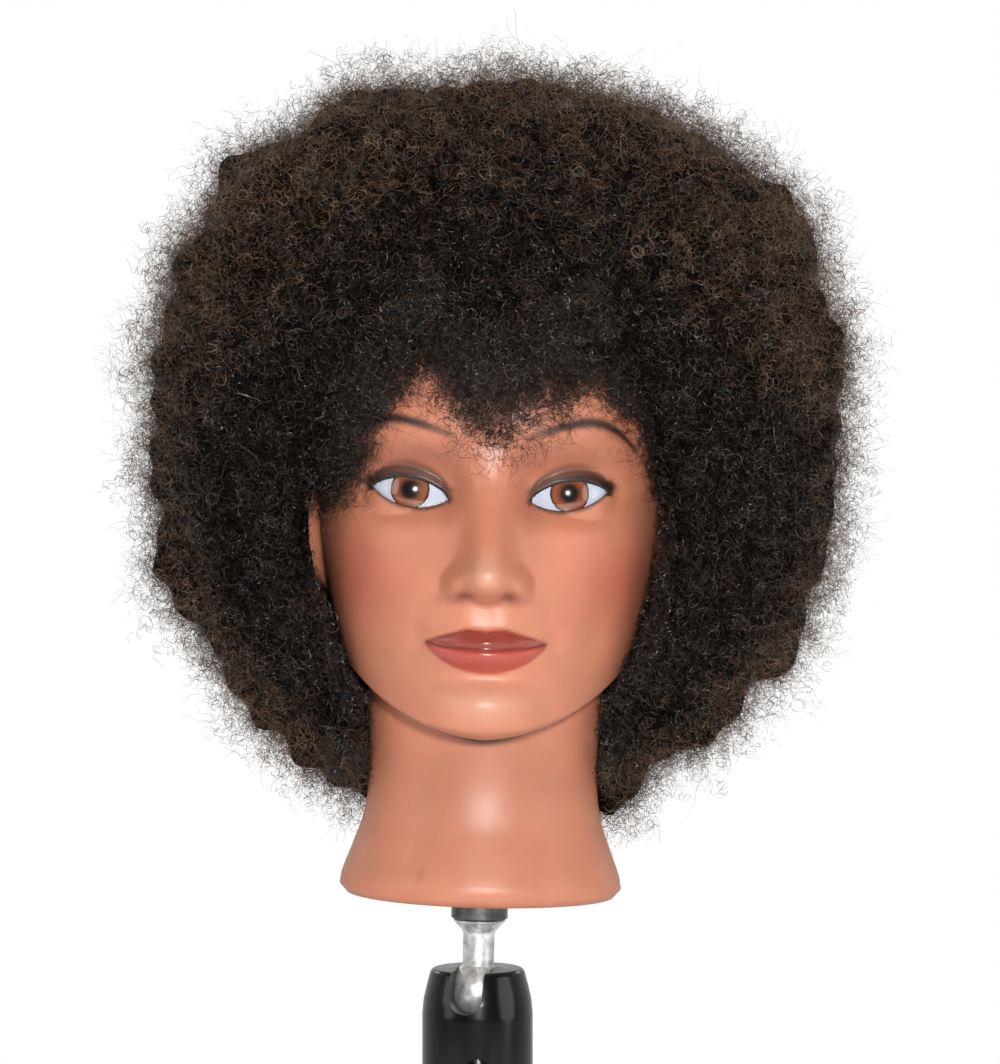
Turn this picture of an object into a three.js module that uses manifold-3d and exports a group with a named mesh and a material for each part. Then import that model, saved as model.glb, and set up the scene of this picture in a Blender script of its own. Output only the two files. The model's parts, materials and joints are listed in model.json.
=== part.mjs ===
// A mannequin training head on a ball-joint holder with a table clamp.
// Millimetres, +Z up, the face looks along -Y. The origin is on the clamp's seat:
// the underside of the rubber pad below the upper jaw, on the socket's axis.
import * as THREE from 'three';
import { mergeVertices } from 'three/addons/utils/BufferGeometryUtils.js';
import Module from 'manifold-3d';

const wasm = await Module();
wasm.setup();

// ---------------------------------------------------------------- driving dimensions
const GAP = 0.3; // between neighbouring solids
const ROUND = 28; // sides of a turned piece

const BALL_HEIGHT = 90; // ball centre above the seat
const BALL_RADIUS = 12.3;
const STEM_RADIUS = 6.4;
const PEG_RADIUS = 11.6;
const PEG_START = 29.6; // above the ball centre
const PEG_LENGTH = 88;
const BASE_ABOVE_BALL = 40; // underside of the neck above the ball centre
const LEAN = THREE.MathUtils.degToRad(1.5); // of the peg and head, towards +X

const SOCKET_RADIUS = 22.6;
const SOCKET_RIM_RADIUS = 18.8;
const SOCKET_RIM = 9.3; // above the ball centre
const SOCKET_SHOULDER = -6;
const SOCKET_BORE = 13.4;
const SLOT_HALF_WIDTH = STEM_RADIUS + 0.6;
const SLOT_ARC_HEIGHT = 0; // centre of the slot's round bottom
const SLOT_AZIMUTH = THREE.MathUtils.degToRad(13); // from straight ahead, towards -X
const CAM_HEIGHT = -34;
const CAM_RADIUS = 11;
const CAM_DROP_PER_RADIAN = 1.2;

const JAW_PAD_THICKNESS = 2.5;
const JAW_THICKNESS = 12;
const CLAMP_WIDTH = 42;
const CLAMP_DEPTH = { spineFront: -34, spineBack: -21, jawEnd: 36, armEnd: 17 };
const CLAMP_ARM = { top: -92, bottom: -107 };
const TABLE_GAP = 40; // between the jaw's pad and the screw's pad at rest
const SCREW_RADIUS = 6;
const BAR_HEIGHT = -168;
const BAR_RADIUS = 3.8;
const BAR_HALF_LENGTH = 46;

// The skull and face, from under the jaw to the dome's foot: half width, reach to the
// front and back of the neck's axis, and how square the front is.
const FACE_SECTIONS = [
  { at: 'below the jaw', z: 60, half: 46, front: 87, back: 46, square: 2.0 },
  { at: 'chin', z: 80, half: 51, front: 89, back: 50, square: 2.0 },
  { at: 'fold below the lip', z: 92, half: 55.5, front: 86, back: 56, square: 2.05 },
  { at: 'mouth', z: 103, half: 59.8, front: 88, back: 62, square: 2.1 },
  { at: 'nose base', z: 122, half: 64.6, front: 89, back: 72, square: 2.2 },
  { at: 'cheekbones', z: 144, half: 68.4, front: 88, back: 84, square: 2.3 },
  { at: 'eyes', z: 165, half: 69.6, front: 87, back: 92, square: 2.35 },
  { at: 'brows', z: 182, half: 71, front: 92, back: 95, square: 2.4 },
  { at: 'foot of the dome', z: 202, half: 72.5, front: 94.5, back: 96, square: 2.3 },
];
const SKULL_TOP = 270;
const NECK_SECTIONS = [
  { at: 'base edge', z: 0, half: 54.5, front: 54, back: 55 },
  { at: 'base roll', z: 4, half: 57.5, front: 57, back: 58 },
  { at: 'flare', z: 19, half: 52.6, front: 52, back: 54 },
  { at: 'above the flare', z: 31, half: 48.5, front: 47.5, back: 51 },
  { at: 'waist', z: 48, half: 46.5, front: 46, back: 49 },
  { at: 'throat', z: 74, half: 47.5, front: 50, back: 50 },
  { at: 'inside the jaw', z: 110, half: 49, front: 56, back: 54 },
];
const JAW = { chin: 65.4, corner: 88, nape: 128, chinRound: 7, cornerRound: 7, flat: 0.5 };
const EYE = { x: 30.5, y: -67, z: 162, radius: 12.4 };
const SKIN_WALL = 4;

// The hair's outer form, from its lower edge to the foot of its dome.
const HAIR_SECTIONS = [
  { at: 'lower edge', z: 24, half: 54, front: 8, back: 84, square: 2.2 },
  { at: 'nape', z: 48, half: 84, front: 20, back: 102, square: 2.2 },
  { at: 'jaw height', z: 79, half: 114, front: 42, back: 122, square: 2.2 },
  { at: 'mouth height', z: 103, half: 133, front: 62, back: 136, square: 2.2 },
  { at: 'cheek height', z: 135, half: 146, front: 78, back: 148, square: 2.2 },
  { at: 'eye height', z: 172, half: 150, front: 92, back: 155, square: 2.2 },
  { at: 'foot of the dome', z: 205, half: 150, front: 120, back: 156, square: 2.2 },
];
const HAIR_TOP = 342;
const HAIR_CLEARANCE = 2; // to the scalp

// ---------------------------------------------------------------- materials
function material(color, roughness, metalness) {
  return new THREE.MeshStandardMaterial({ color, roughness, metalness });
}
const VINYL = material(0xcd8264, 0.42, 0);
const HAIR = material(0x2a1c16, 0.85, 0);
const EYE_WHITE = material(0xdfe3e8, 0.12, 0);
const CHROME = material(0xd6d8da, 0.08, 1);
const GLOSS_BLACK = material(0x0b0b0c, 0.12, 0.3);
const STEEL = material(0x9b9ea1, 0.35, 1);
const NYLON = material(0xe9e6de, 0.5, 0);
const RIGID_PLASTIC = material(0xc9c2b4, 0.55, 0);
const RUBBER = material(0x1b1b1b, 0.85, 0);
const GRIP = material(0x131313, 0.6, 0);

// ---------------------------------------------------------------- shape helpers
function bare(geometry) {
  const copy = geometry.index ? geometry.clone() : mergeVertices(geometry);
  copy.deleteAttribute('normal');
  copy.deleteAttribute('uv');
  return mergeVertices(copy, 1e-4);
}

function solid(geometry, matrix = new THREE.Matrix4()) {
  const merged = bare(geometry).applyMatrix4(matrix);
  return new wasm.Manifold(new wasm.Mesh({
    numProp: 3,
    vertProperties: Float32Array.from(merged.attributes.position.array),
    triVerts: Uint32Array.from(merged.index.array),
  }));
}

function geometryOf(manifold) {
  const mesh = manifold.getMesh();
  const geometry = new THREE.BufferGeometry();
  geometry.setAttribute('position', new THREE.BufferAttribute(mesh.vertProperties, 3));
  geometry.setIndex(new THREE.BufferAttribute(mesh.triVerts, 1));
  geometry.computeVertexNormals();
  return geometry;
}

function moved(x, y, z, turnX = 0, turnY = 0, turnZ = 0) {
  const turn = new THREE.Quaternion().setFromEuler(new THREE.Euler(turnX, turnY, turnZ));
  return new THREE.Matrix4().compose(new THREE.Vector3(x, y, z), turn, new THREE.Vector3(1, 1, 1));
}

// A turned piece about Z from [radius, height] corners, listed from the bottom up.
function turned(corners, sides = ROUND) {
  const points = corners.map(([radius, height]) => new THREE.Vector2(radius, height));
  return new THREE.LatheGeometry(points, sides).rotateX(Math.PI / 2);
}

function rod(radius, from, to, sides = ROUND) {
  return turned([[0, from], [radius, from], [radius, to], [0, to]], sides);
}

function tube(inner, outer, from, to, sides = ROUND) {
  return turned([[inner, from], [outer, from], [outer, to], [inner, to], [inner, from]], sides);
}

// [radius, height] corners along a sphere about the origin, between two angles from the bottom.
function arc(radius, fromDegrees, toDegrees, steps) {
  const corners = [];
  for (let i = 0; i <= steps; i += 1) {
    const angle = THREE.MathUtils.degToRad(fromDegrees + (toDegrees - fromDegrees) * i / steps);
    corners.push([radius * Math.sin(angle), -radius * Math.cos(angle)]);
  }
  return corners;
}

// A closed skin over a stack of rings with the same number of points, capped at both ends.
function loft(rings) {
  const count = rings[0].length;
  const positions = rings.flat().flatMap((point) => [point.x, point.y, point.z]);
  const index = [];
  for (let row = 0; row + 1 < rings.length; row += 1) {
    for (let column = 0; column < count; column += 1) {
      const a = row * count + column;
      const b = row * count + (column + 1) % count;
      index.push(a, b, b + count, a, b + count, a + count);
    }
  }
  const addCap = (ring, start, upwards) => {
    const centre = ring.reduce((sum, point) => sum.add(point), new THREE.Vector3());
    centre.divideScalar(count);
    const apex = positions.length / 3;
    positions.push(centre.x, centre.y, centre.z);
    for (let column = 0; column < count; column += 1) {
      const next = (column + 1) % count;
      if (upwards) index.push(start + column, start + next, apex);
      else index.push(start + next, start + column, apex);
    }
  };
  addCap(rings[0], 0, false);
  addCap(rings.at(-1), (rings.length - 1) * count, true);
  const geometry = new THREE.BufferGeometry();
  geometry.setAttribute('position', new THREE.Float32BufferAttribute(positions, 3));
  geometry.setIndex(index);
  return geometry;
}

// ---------------------------------------------------------------- head form
const { clamp, lerp, smoothstep } = THREE.MathUtils;

function sectionAt(sections, z) {
  let k = 0;
  while (k + 2 < sections.length && sections[k + 1].z < z) k += 1;
  const [low, high] = [sections[k], sections[k + 1]];
  const before = sections[Math.max(k - 1, 0)];
  const after = sections[Math.min(k + 2, sections.length - 1)];
  const span = high.z - low.z;
  const t = clamp((z - low.z) / span, 0, 1);
  const smooth = (key) => {
    if (low[key] === undefined) return 2;
    const enter = k > 0 ? (high[key] - before[key]) / (high.z - before.z) * span : high[key] - low[key];
    const leave = k + 2 < sections.length
      ? (after[key] - low[key]) / (after.z - low.z) * span : high[key] - low[key];
    const t2 = t * t;
    const t3 = t2 * t;
    return (2 * t3 - 3 * t2 + 1) * low[key] + (t3 - 2 * t2 + t) * enter
      + (3 * t2 - 2 * t3) * high[key] + (t3 - t2) * leave;
  };
  return { half: smooth('half'), front: smooth('front'), back: smooth('back'), square: smooth('square') };
}

// Radius of a section in the direction phi, counted from straight ahead towards +X.
function reach(section, phi, inset) {
  const across = Math.abs(Math.sin(phi)) / (section.half - inset);
  const ahead = Math.cos(phi);
  const along = Math.abs(ahead) / ((ahead > 0 ? section.front : section.back) - inset);
  const square = ahead > 0 ? section.square : 2;
  return (across ** square + along ** square) ** (-1 / square);
}

// How much of its section a rounded dome keeps at height z.
function domeShare(z, foot, top) {
  const rise = clamp((z - foot) / (top - foot), 0, 1);
  return (1 - rise ** 2.3) ** (1 / 2.3);
}

// The jaw's edge stays level under the chin and then climbs evenly to its corners.
function jawShare(phi, z, lift) {
  const side = Math.abs(Math.sin(phi));
  const climb = (1 + JAW.flat) * side ** 2 / (side + JAW.flat);
  const front = lerp(JAW.chin, JAW.corner, climb);
  const edge = (Math.cos(phi) > 0 ? front : lerp(JAW.nape, JAW.corner, side)) + lift;
  const height = lerp(JAW.chinRound, JAW.cornerRound, side);
  const rise = clamp((z - edge) / height, 0, 1);
  return (1 - (1 - rise) ** 3) ** (1 / 3);
}

function headRadius(phi, z, inset, lift) {
  const dome = FACE_SECTIONS.at(-1).z;
  const face = reach(sectionAt(FACE_SECTIONS, Math.min(z, dome)), phi, inset)
    * domeShare(z, dome, SKULL_TOP - inset) * jawShare(phi, z, lift);
  if (z > NECK_SECTIONS.at(-1).z + 20) return face;
  const neck = reach(sectionAt(NECK_SECTIONS, Math.min(z, NECK_SECTIONS.at(-1).z)), phi, inset);
  return Math.max(face, neck);
}

function bump(x, z, centreX, centreZ, width, height) {
  return Math.exp(-(((x - centreX) / width) ** 2) - ((z - centreZ) / height) ** 2);
}

// How far the features stand out of the face, towards the front.
function relief(x, z) {
  const side = Math.abs(x);
  const noseTip = 132;
  const noseTop = 176;
  const along = clamp((noseTop - z) / (noseTop - noseTip), 0, 1);
  const under = smoothstep(z, 121, 130);
  const ridge = lerp(2, 22, along ** 1.4) * under * Math.exp(-((side / lerp(6, 9, along)) ** 2));
  const wings = 9 * bump(side, z, 11, 128, 6, 6);
  const lips = 6 * bump(x, z, 0, 103, 20, 9);
  const chin = 4 * bump(x, z, 0, 79, 17, 9);
  const sockets = -6 * bump(side, z, EYE.x, EYE.z, 17, 10) - 3 * bump(side, z, 17, 168, 7, 10);
  const cheeks = 3 * bump(side, z, 40, 138, 18, 16);
  const brows = 2 * bump(side, z, 27, 183, 22, 6);
  return ridge + wings + lips + chin + sockets + cheeks + brows;
}

function earSwell(phi, z) {
  return 12 * Math.exp(-(((Math.abs(phi) - 1.62) / 0.2) ** 4) - ((z - 156) / 30) ** 4);
}

// Rings of the head's surface from the base to the crown, evenly spaced along each meridian.
function headRings(columns, rows, { inset = 0, lift = 0, features = true, bottom = 0 } = {}) {
  const crown = SKULL_TOP - inset;
  const samples = 400;
  const meridians = [];
  for (let column = 0; column < columns; column += 1) {
    const turn = 2 * column / columns - 1;
    const phi = Math.PI * (0.72 * turn + 0.28 * turn ** 3);
    const profile = [];
    for (let i = 0; i <= samples; i += 1) {
      const z = bottom + (crown - 0.6 - bottom) * Math.sin(Math.PI / 2 * i / samples);
      const radius = headRadius(phi, z, inset, lift) + (features ? earSwell(phi, z) : 0);
      profile.push(new THREE.Vector3(radius * Math.sin(phi), -radius * Math.cos(phi), z));
    }
    const along = [0];
    for (let i = 1; i <= samples; i += 1) {
      along.push(along[i - 1] + profile[i].distanceTo(profile[i - 1]));
    }
    meridians.push(Array.from({ length: rows }, (_, row) => {
      const target = along[samples] * row / (rows - 1);
      let i = along.findIndex((length) => length >= target - 1e-9);
      i = Math.max(i, 1);
      const share = (target - along[i - 1]) / (along[i] - along[i - 1]);
      const point = profile[i - 1].clone().lerp(profile[i], share);
      const facing = smoothstep(Math.cos(phi), 0.1, 0.5);
      if (point.z > 70 && point.z < 215) {
        const depth = relief(point.x, point.z) * facing;
        point.y -= features ? depth : Math.min(depth, 0);
      }
      return point;
    }));
  }
  return Array.from({ length: rows }, (_, row) => meridians.map((meridian) => meridian[row]));
}

function eyeball(side, radius) {
  const sphere = new THREE.SphereGeometry(radius, 16, 12);
  return sphere.translate(side * EYE.x, EYE.y, EYE.z);
}

function headSkin() {
  const outside = solid(loft(headRings(38, 40)));
  const hollow = { inset: SKIN_WALL, lift: 9, features: false, bottom: -4 };
  const inside = solid(loft(headRings(22, 20, hollow)));
  const eyeHole = EYE.radius + GAP;
  return geometryOf(outside.subtract(inside)
    .subtract(solid(eyeball(1, eyeHole)))
    .subtract(solid(eyeball(-1, eyeHole))));
}

// ---------------------------------------------------------------- hair
function hairRings(columns, rows) {
  const foot = HAIR_SECTIONS[0].z;
  const dome = HAIR_SECTIONS.at(-1).z;
  return Array.from({ length: rows }, (_, row) => {
    const z = lerp(foot, HAIR_TOP - 1, Math.sin(Math.PI / 2 * row / (rows - 1)) ** 0.9);
    const section = sectionAt(HAIR_SECTIONS, Math.min(z, dome));
    return Array.from({ length: columns }, (_, column) => {
      const phi = 2 * Math.PI * column / columns - Math.PI;
      const radius = reach(section, phi, 0) * domeShare(z, dome, HAIR_TOP);
      return new THREE.Vector3(radius * Math.sin(phi), -radius * Math.cos(phi), z);
    });
  });
}

// The space in front of the face and throat that the hair leaves free: an arch that
// widens towards the front.
function faceOpening() {
  const stations = [
    { y: -8, half: 62, top: 196 },
    { y: -55, half: 70, top: 200 },
    { y: -95, half: 80, top: 203 },
    { y: -170, half: 96, top: 214 },
  ];
  const corners = 16;
  const floor = 5;
  const rings = stations.map(({ y, half, top }) => {
    const arch = Array.from({ length: corners }, (_, i) => {
      const angle = Math.PI * i / (corners - 1);
      const across = Math.sign(Math.cos(angle)) * Math.abs(Math.cos(angle)) ** 0.7;
      const waist = 120;
      return new THREE.Vector3(half * across, y, waist + (top - waist) * Math.sin(angle) ** 0.7);
    });
    const narrow = half * 0.8;
    return [...arch, new THREE.Vector3(-narrow, y, floor), new THREE.Vector3(narrow, y, floor)];
  });
  return loft(rings);
}

function hairMass() {
  const outer = solid(loft(hairRings(34, 17)));
  const scalp = solid(loft(headRings(38, 40, { inset: -HAIR_CLEARANCE, lift: -HAIR_CLEARANCE })));
  const opening = solid(faceOpening());
  return geometryOf(outer.subtract(scalp).subtract(opening));
}

// ---------------------------------------------------------------- neck fittings
const BORE_TOP = PEG_START + PEG_LENGTH - BASE_ABOVE_BALL + 4;

function neckPlug() {
  const disc = { radius: 47.5, from: 0.6, to: 6 };
  const hub = { radius: 20, to: BORE_TOP + 5 };
  const rib = { thickness: 3, reach: 38, to: 44 };
  let plug = solid(turned([
    [0, disc.from], [disc.radius, disc.from], [disc.radius, disc.to],
    [hub.radius, disc.to], [hub.radius, hub.to], [0, hub.to],
  ]));
  for (let i = 0; i < 3; i += 1) {
    const web = new THREE.BoxGeometry(2 * rib.reach, rib.thickness, rib.to - 3);
    plug = plug.add(solid(web, moved(0, 0, (rib.to + 3) / 2, 0, 0, Math.PI * i / 3)));
  }
  return geometryOf(plug.subtract(solid(rod(SLEEVE.outer + GAP, -5, BORE_TOP))));
}

const SLEEVE = { inner: PEG_RADIUS + GAP, outer: 14.2, from: 2, to: 70, slit: 1.2 };

function pegSleeve() {
  const slit = Math.asin(SLEEVE.slit / SLEEVE.outer);
  const outline = new THREE.Shape();
  outline.absarc(0, 0, SLEEVE.outer, slit, 2 * Math.PI - slit, false);
  outline.absarc(0, 0, SLEEVE.inner, 2 * Math.PI - slit, slit, true);
  outline.closePath();
  const settings = { depth: SLEEVE.to - SLEEVE.from, bevelEnabled: false, curveSegments: 24 };
  return new THREE.ExtrudeGeometry(outline, settings).translate(0, 0, SLEEVE.from);
}

// ---------------------------------------------------------------- ball, stem and peg
const SPIGOT = { radius: 5, top: PEG_START + 16 };
const CONE_START = 24.6;

function ballStud() {
  const neckAngle = 180 - THREE.MathUtils.radToDeg(Math.asin(STEM_RADIUS / BALL_RADIUS));
  return turned([
    ...arc(BALL_RADIUS, 0, neckAngle, 10),
    [STEM_RADIUS, CONE_START], [PEG_RADIUS - 0.4, PEG_START - GAP],
    [SPIGOT.radius, PEG_START - GAP], [SPIGOT.radius, SPIGOT.top], [0, SPIGOT.top],
  ]);
}

function peg() {
  const top = PEG_START + PEG_LENGTH;
  const chamfer = 2;
  return turned([
    [0, SPIGOT.top + 2], [SPIGOT.radius + GAP, SPIGOT.top + 2], [SPIGOT.radius + GAP, PEG_START],
    [PEG_RADIUS - 0.6, PEG_START], [PEG_RADIUS, PEG_START + 0.6],
    [PEG_RADIUS, top - chamfer], [PEG_RADIUS - chamfer, top], [0, top],
  ]);
}

// ---------------------------------------------------------------- socket and lock
const SOCKET_FLOOR = JAW_PAD_THICKNESS + JAW_THICKNESS + 2 * GAP + 1.6 + GAP - BALL_HEIGHT;
const FLOOR_THICKNESS = 8;
const BOLT_RADIUS = 5;
const SHAFT_RADIUS = 4.6;

function socketHousing() {
  const seat = BALL_RADIUS + GAP;
  const mouth = 10;
  const seatAngle = 90 + THREE.MathUtils.radToDeg(Math.acos(mouth / seat));
  const outside = solid(turned([
    [0, SOCKET_FLOOR], [SOCKET_RADIUS - 1, SOCKET_FLOOR], [SOCKET_RADIUS, SOCKET_FLOOR + 1],
    [SOCKET_RADIUS, SOCKET_SHOULDER], [SOCKET_RIM_RADIUS + 0.7, SOCKET_RIM - 1.2],
    [SOCKET_RIM_RADIUS - 0.6, SOCKET_RIM], [0, SOCKET_RIM],
  ]));
  const bore = solid(turned([
    [0, SOCKET_FLOOR + FLOOR_THICKNESS], [SOCKET_BORE, SOCKET_FLOOR + FLOOR_THICKNESS],
    [SOCKET_BORE, -3], ...arc(seat, 90, seatAngle, 5),
    [mouth + 1.4, SOCKET_RIM + 0.1], [0, SOCKET_RIM + 0.1],
  ]));
  const boltHole = solid(rod(BOLT_RADIUS + GAP, SOCKET_FLOOR - 1, SOCKET_FLOOR + FLOOR_THICKNESS + 1));
  const shaftHole = solid(rod(SHAFT_RADIUS + GAP, -40, 40), moved(0, 0, CAM_HEIGHT, Math.PI / 2));
  const slotReach = 40;
  const slotTop = SOCKET_RIM + 5;
  const slotBox = new THREE.BoxGeometry(2 * SLOT_HALF_WIDTH, slotReach, slotTop - SLOT_ARC_HEIGHT);
  slotBox.translate(0, -slotReach / 2, (slotTop + SLOT_ARC_HEIGHT) / 2);
  const slotRound = rod(SLOT_HALF_WIDTH, 0, slotReach).rotateX(Math.PI / 2);
  slotRound.translate(0, 0, SLOT_ARC_HEIGHT);
  const turn = moved(0, 0, 0, 0, 0, -SLOT_AZIMUTH);
  return geometryOf(outside.subtract(bore).subtract(boltHole).subtract(shaftHole)
    .subtract(solid(slotBox, turn)).subtract(solid(slotRound, turn)));
}

function brakeShoe() {
  const cup = BALL_RADIUS + GAP;
  const radius = SOCKET_BORE - GAP;
  const lip = 10; // low enough for the stem to lie flat in the slot
  const lipAngle = THREE.MathUtils.radToDeg(Math.asin(lip / cup));
  const bottom = CAM_HEIGHT + CAM_RADIUS + GAP;
  return turned([
    [0, bottom], [radius - 1, bottom], [radius, bottom + 1],
    [radius, -Math.sqrt(cup ** 2 - lip ** 2)], ...arc(cup, lipAngle, 0, 6),
  ]);
}

const SHAFT = { front: -26, back: 38 };

function camShaft() {
  const outline = new THREE.Shape();
  const steps = 36;
  for (let i = 0; i < steps; i += 1) {
    const angle = 2 * Math.PI * i / steps;
    const radius = CAM_RADIUS - CAM_DROP_PER_RADIAN * Math.min(angle, 2 * Math.PI - angle);
    const spot = [radius * Math.sin(angle), radius * Math.cos(angle)];
    if (i === 0) outline.moveTo(...spot);
    else outline.lineTo(...spot);
  }
  outline.closePath();
  const width = 9;
  const lobe = new THREE.ExtrudeGeometry(outline, { depth: width, bevelEnabled: false });
  const lobeSolid = solid(lobe, moved(0, width / 2, 0, Math.PI / 2));
  const shaft = rod(SHAFT_RADIUS, -SHAFT.back, -SHAFT.front, 24);
  return geometryOf(lobeSolid.add(solid(shaft, moved(0, 0, 0, Math.PI / 2))));
}

// A round cap with a blind hole that sits on the shaft's front end.
function camCap() {
  const radius = 8.5;
  const back = SOCKET_RADIUS + GAP;
  const cap = turned([
    [SHAFT_RADIUS + GAP, back], [radius, back], [radius, back + 4], [radius - 1.6, back + 5.6],
    [0, back + 6.2], [0, -SHAFT.front + GAP], [SHAFT_RADIUS + GAP, -SHAFT.front + GAP],
    [SHAFT_RADIUS + GAP, back],
  ], 32);
  return cap.rotateX(Math.PI / 2);
}

const LEVER = { from: SOCKET_RADIUS + 1, to: SOCKET_RADIUS + 8, hub: 10, length: 66, tilt: -0.42 };

function leverPoint(distance) {
  return [distance * Math.cos(LEVER.tilt), distance * Math.sin(LEVER.tilt)];
}

function lockLever() {
  const hub = tube(SHAFT_RADIUS + GAP, LEVER.hub, LEVER.from, LEVER.to, 32).rotateX(-Math.PI / 2);
  const armWidth = 8;
  const armDepth = LEVER.to - LEVER.from - 2;
  const arm = new THREE.BoxGeometry(LEVER.length - 8, armDepth, armWidth);
  const [x, z] = leverPoint(8 + (LEVER.length - 8) / 2);
  const y = (LEVER.from + LEVER.to) / 2;
  return geometryOf(solid(hub).add(solid(arm, moved(x, y, z, 0, -LEVER.tilt))));
}

function leverGrip() {
  const length = 30;
  const grip = turned([
    [0, 0], [6.5, 0], [7.5, 3], [8.5, length * 0.6], [7, length - 3], [4, length], [0, length],
  ], 28);
  const [x, z] = leverPoint(LEVER.length + GAP);
  const y = (LEVER.from + LEVER.to) / 2;
  const aim = moved(x, y, z, 0, Math.PI / 2 - LEVER.tilt);
  return bare(grip).applyMatrix4(aim);
}

function leverNut() {
  const back = LEVER.to + GAP;
  const turn = moved(0, 0, 0, -Math.PI / 2);
  const hexagon = solid(rod(8, back, back + 5, 6), turn);
  return geometryOf(hexagon.subtract(solid(rod(SHAFT_RADIUS + GAP, 0, 60), turn)));
}

// ---------------------------------------------------------------- clamp
const JAW_TOP = JAW_PAD_THICKNESS + GAP + JAW_THICKNESS;

function clampFrame() {
  const { spineFront, spineBack, jawEnd, armEnd } = CLAMP_DEPTH;
  const jawUnder = JAW_PAD_THICKNESS + GAP;
  const corner = 6;
  const outline = new THREE.Shape();
  outline.moveTo(spineFront + corner, JAW_TOP);
  outline.lineTo(jawEnd, JAW_TOP);
  outline.lineTo(jawEnd, jawUnder);
  outline.lineTo(spineBack + corner, jawUnder);
  outline.quadraticCurveTo(spineBack, jawUnder, spineBack, jawUnder - corner);
  outline.lineTo(spineBack, CLAMP_ARM.top + corner);
  outline.quadraticCurveTo(spineBack, CLAMP_ARM.top, spineBack + corner, CLAMP_ARM.top);
  outline.lineTo(armEnd, CLAMP_ARM.top);
  outline.lineTo(armEnd, CLAMP_ARM.bottom);
  outline.lineTo(spineFront + corner, CLAMP_ARM.bottom);
  outline.quadraticCurveTo(spineFront, CLAMP_ARM.bottom, spineFront, CLAMP_ARM.bottom + corner);
  outline.lineTo(spineFront, JAW_TOP - corner);
  outline.quadraticCurveTo(spineFront, JAW_TOP, spineFront + corner, JAW_TOP);
  const depth = CLAMP_WIDTH;
  const profile = new THREE.ExtrudeGeometry(outline, { depth, bevelEnabled: false, curveSegments: 5 });
  profile.applyMatrix4(new THREE.Matrix4().makeBasis(
    new THREE.Vector3(0, 1, 0), new THREE.Vector3(0, 0, 1), new THREE.Vector3(1, 0, 0),
  ));
  profile.translate(-CLAMP_WIDTH / 2, 0, 0);
  const screwHole = solid(rod(SCREW_RADIUS + GAP, CLAMP_ARM.bottom - 5, CLAMP_ARM.top + 5));
  const boltHole = solid(rod(BOLT_RADIUS + GAP, -5, JAW_TOP + 5));
  return geometryOf(solid(profile).subtract(screwHole).subtract(boltHole));
}

function jawPad() {
  const length = CLAMP_DEPTH.jawEnd - 2 + 12;
  const pad = new THREE.BoxGeometry(CLAMP_WIDTH - 4, length, JAW_PAD_THICKNESS);
  return pad.translate(0, CLAMP_DEPTH.jawEnd - 2 - length / 2, JAW_PAD_THICKNESS / 2);
}

function pivotBolt() {
  const headFrom = BALL_HEIGHT + SOCKET_FLOOR + FLOOR_THICKNESS + GAP + 1.6 + GAP;
  return turned([
    [0, 4], [BOLT_RADIUS, 4], [BOLT_RADIUS, headFrom], [9, headFrom],
    [9, headFrom + 6], [0, headFrom + 6],
  ]);
}

function washer(inner, outer, from, thickness) {
  return tube(inner, outer, from, from + thickness);
}

const PAD = { radius: 17, faceThickness: 2, bodyThickness: 5, cupDepth: 9 };
const PAD_FACE_TOP = -TABLE_GAP;
const PAD_TOP = PAD_FACE_TOP - PAD.faceThickness - GAP;

function pressurePad() {
  const under = PAD_TOP - PAD.bodyThickness;
  const cup = under - PAD.cupDepth + PAD.bodyThickness;
  return turned([
    [0, PAD_TOP - 3], [SCREW_RADIUS - 1 + GAP, PAD_TOP - 3], [SCREW_RADIUS - 1 + GAP, cup], [10, cup],
    [10, under], [PAD.radius, under], [PAD.radius, PAD_TOP], [0, PAD_TOP],
  ]);
}

function clampScrew() {
  const top = PAD_TOP - 3 - GAP;
  const headTop = BAR_HEIGHT + 9;
  const headBottom = BAR_HEIGHT - 8;
  const screw = solid(turned([
    [0, headBottom], [9, headBottom], [10, headBottom + 1], [10, headTop - 1], [9, headTop],
    [SCREW_RADIUS, headTop], [SCREW_RADIUS, top - 12], [SCREW_RADIUS - 1, top - 11],
    [SCREW_RADIUS - 1, top], [0, top],
  ], 32));
  const hole = solid(rod(BAR_RADIUS + GAP, -20, 20, 24), moved(0, 0, BAR_HEIGHT, 0, Math.PI / 2));
  return geometryOf(screw.subtract(hole));
}

function tommyBar() {
  const bar = rod(BAR_RADIUS, -BAR_HALF_LENGTH, BAR_HALF_LENGTH, 24);
  return bar.rotateY(Math.PI / 2).translate(0, 0, BAR_HEIGHT);
}

function barCap(side) {
  const start = BAR_HALF_LENGTH + GAP - 6;
  const cap = turned([
    [BAR_RADIUS + GAP, start], [6, start], [6.6, start + 2], [6.6, start + 9], [4.5, start + 11],
    [0, start + 11], [0, BAR_HALF_LENGTH + GAP], [BAR_RADIUS + GAP, BAR_HALF_LENGTH + GAP],
    [BAR_RADIUS + GAP, start],
  ], 24);
  return cap.rotateY(side * Math.PI / 2).translate(0, 0, BAR_HEIGHT);
}

// ---------------------------------------------------------------- assembly
function piece(name, geometry, look) {
  const mesh = new THREE.Mesh(geometry, look);
  mesh.name = name;
  return mesh;
}

const object = new THREE.Group();

const socket = new THREE.Group();
socket.position.z = BALL_HEIGHT;
object.add(socket);

const leaning = new THREE.Group();
leaning.rotation.y = LEAN;
socket.add(leaning);

const head = new THREE.Group();
head.position.z = BASE_ABOVE_BALL;
leaning.add(head);

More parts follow.
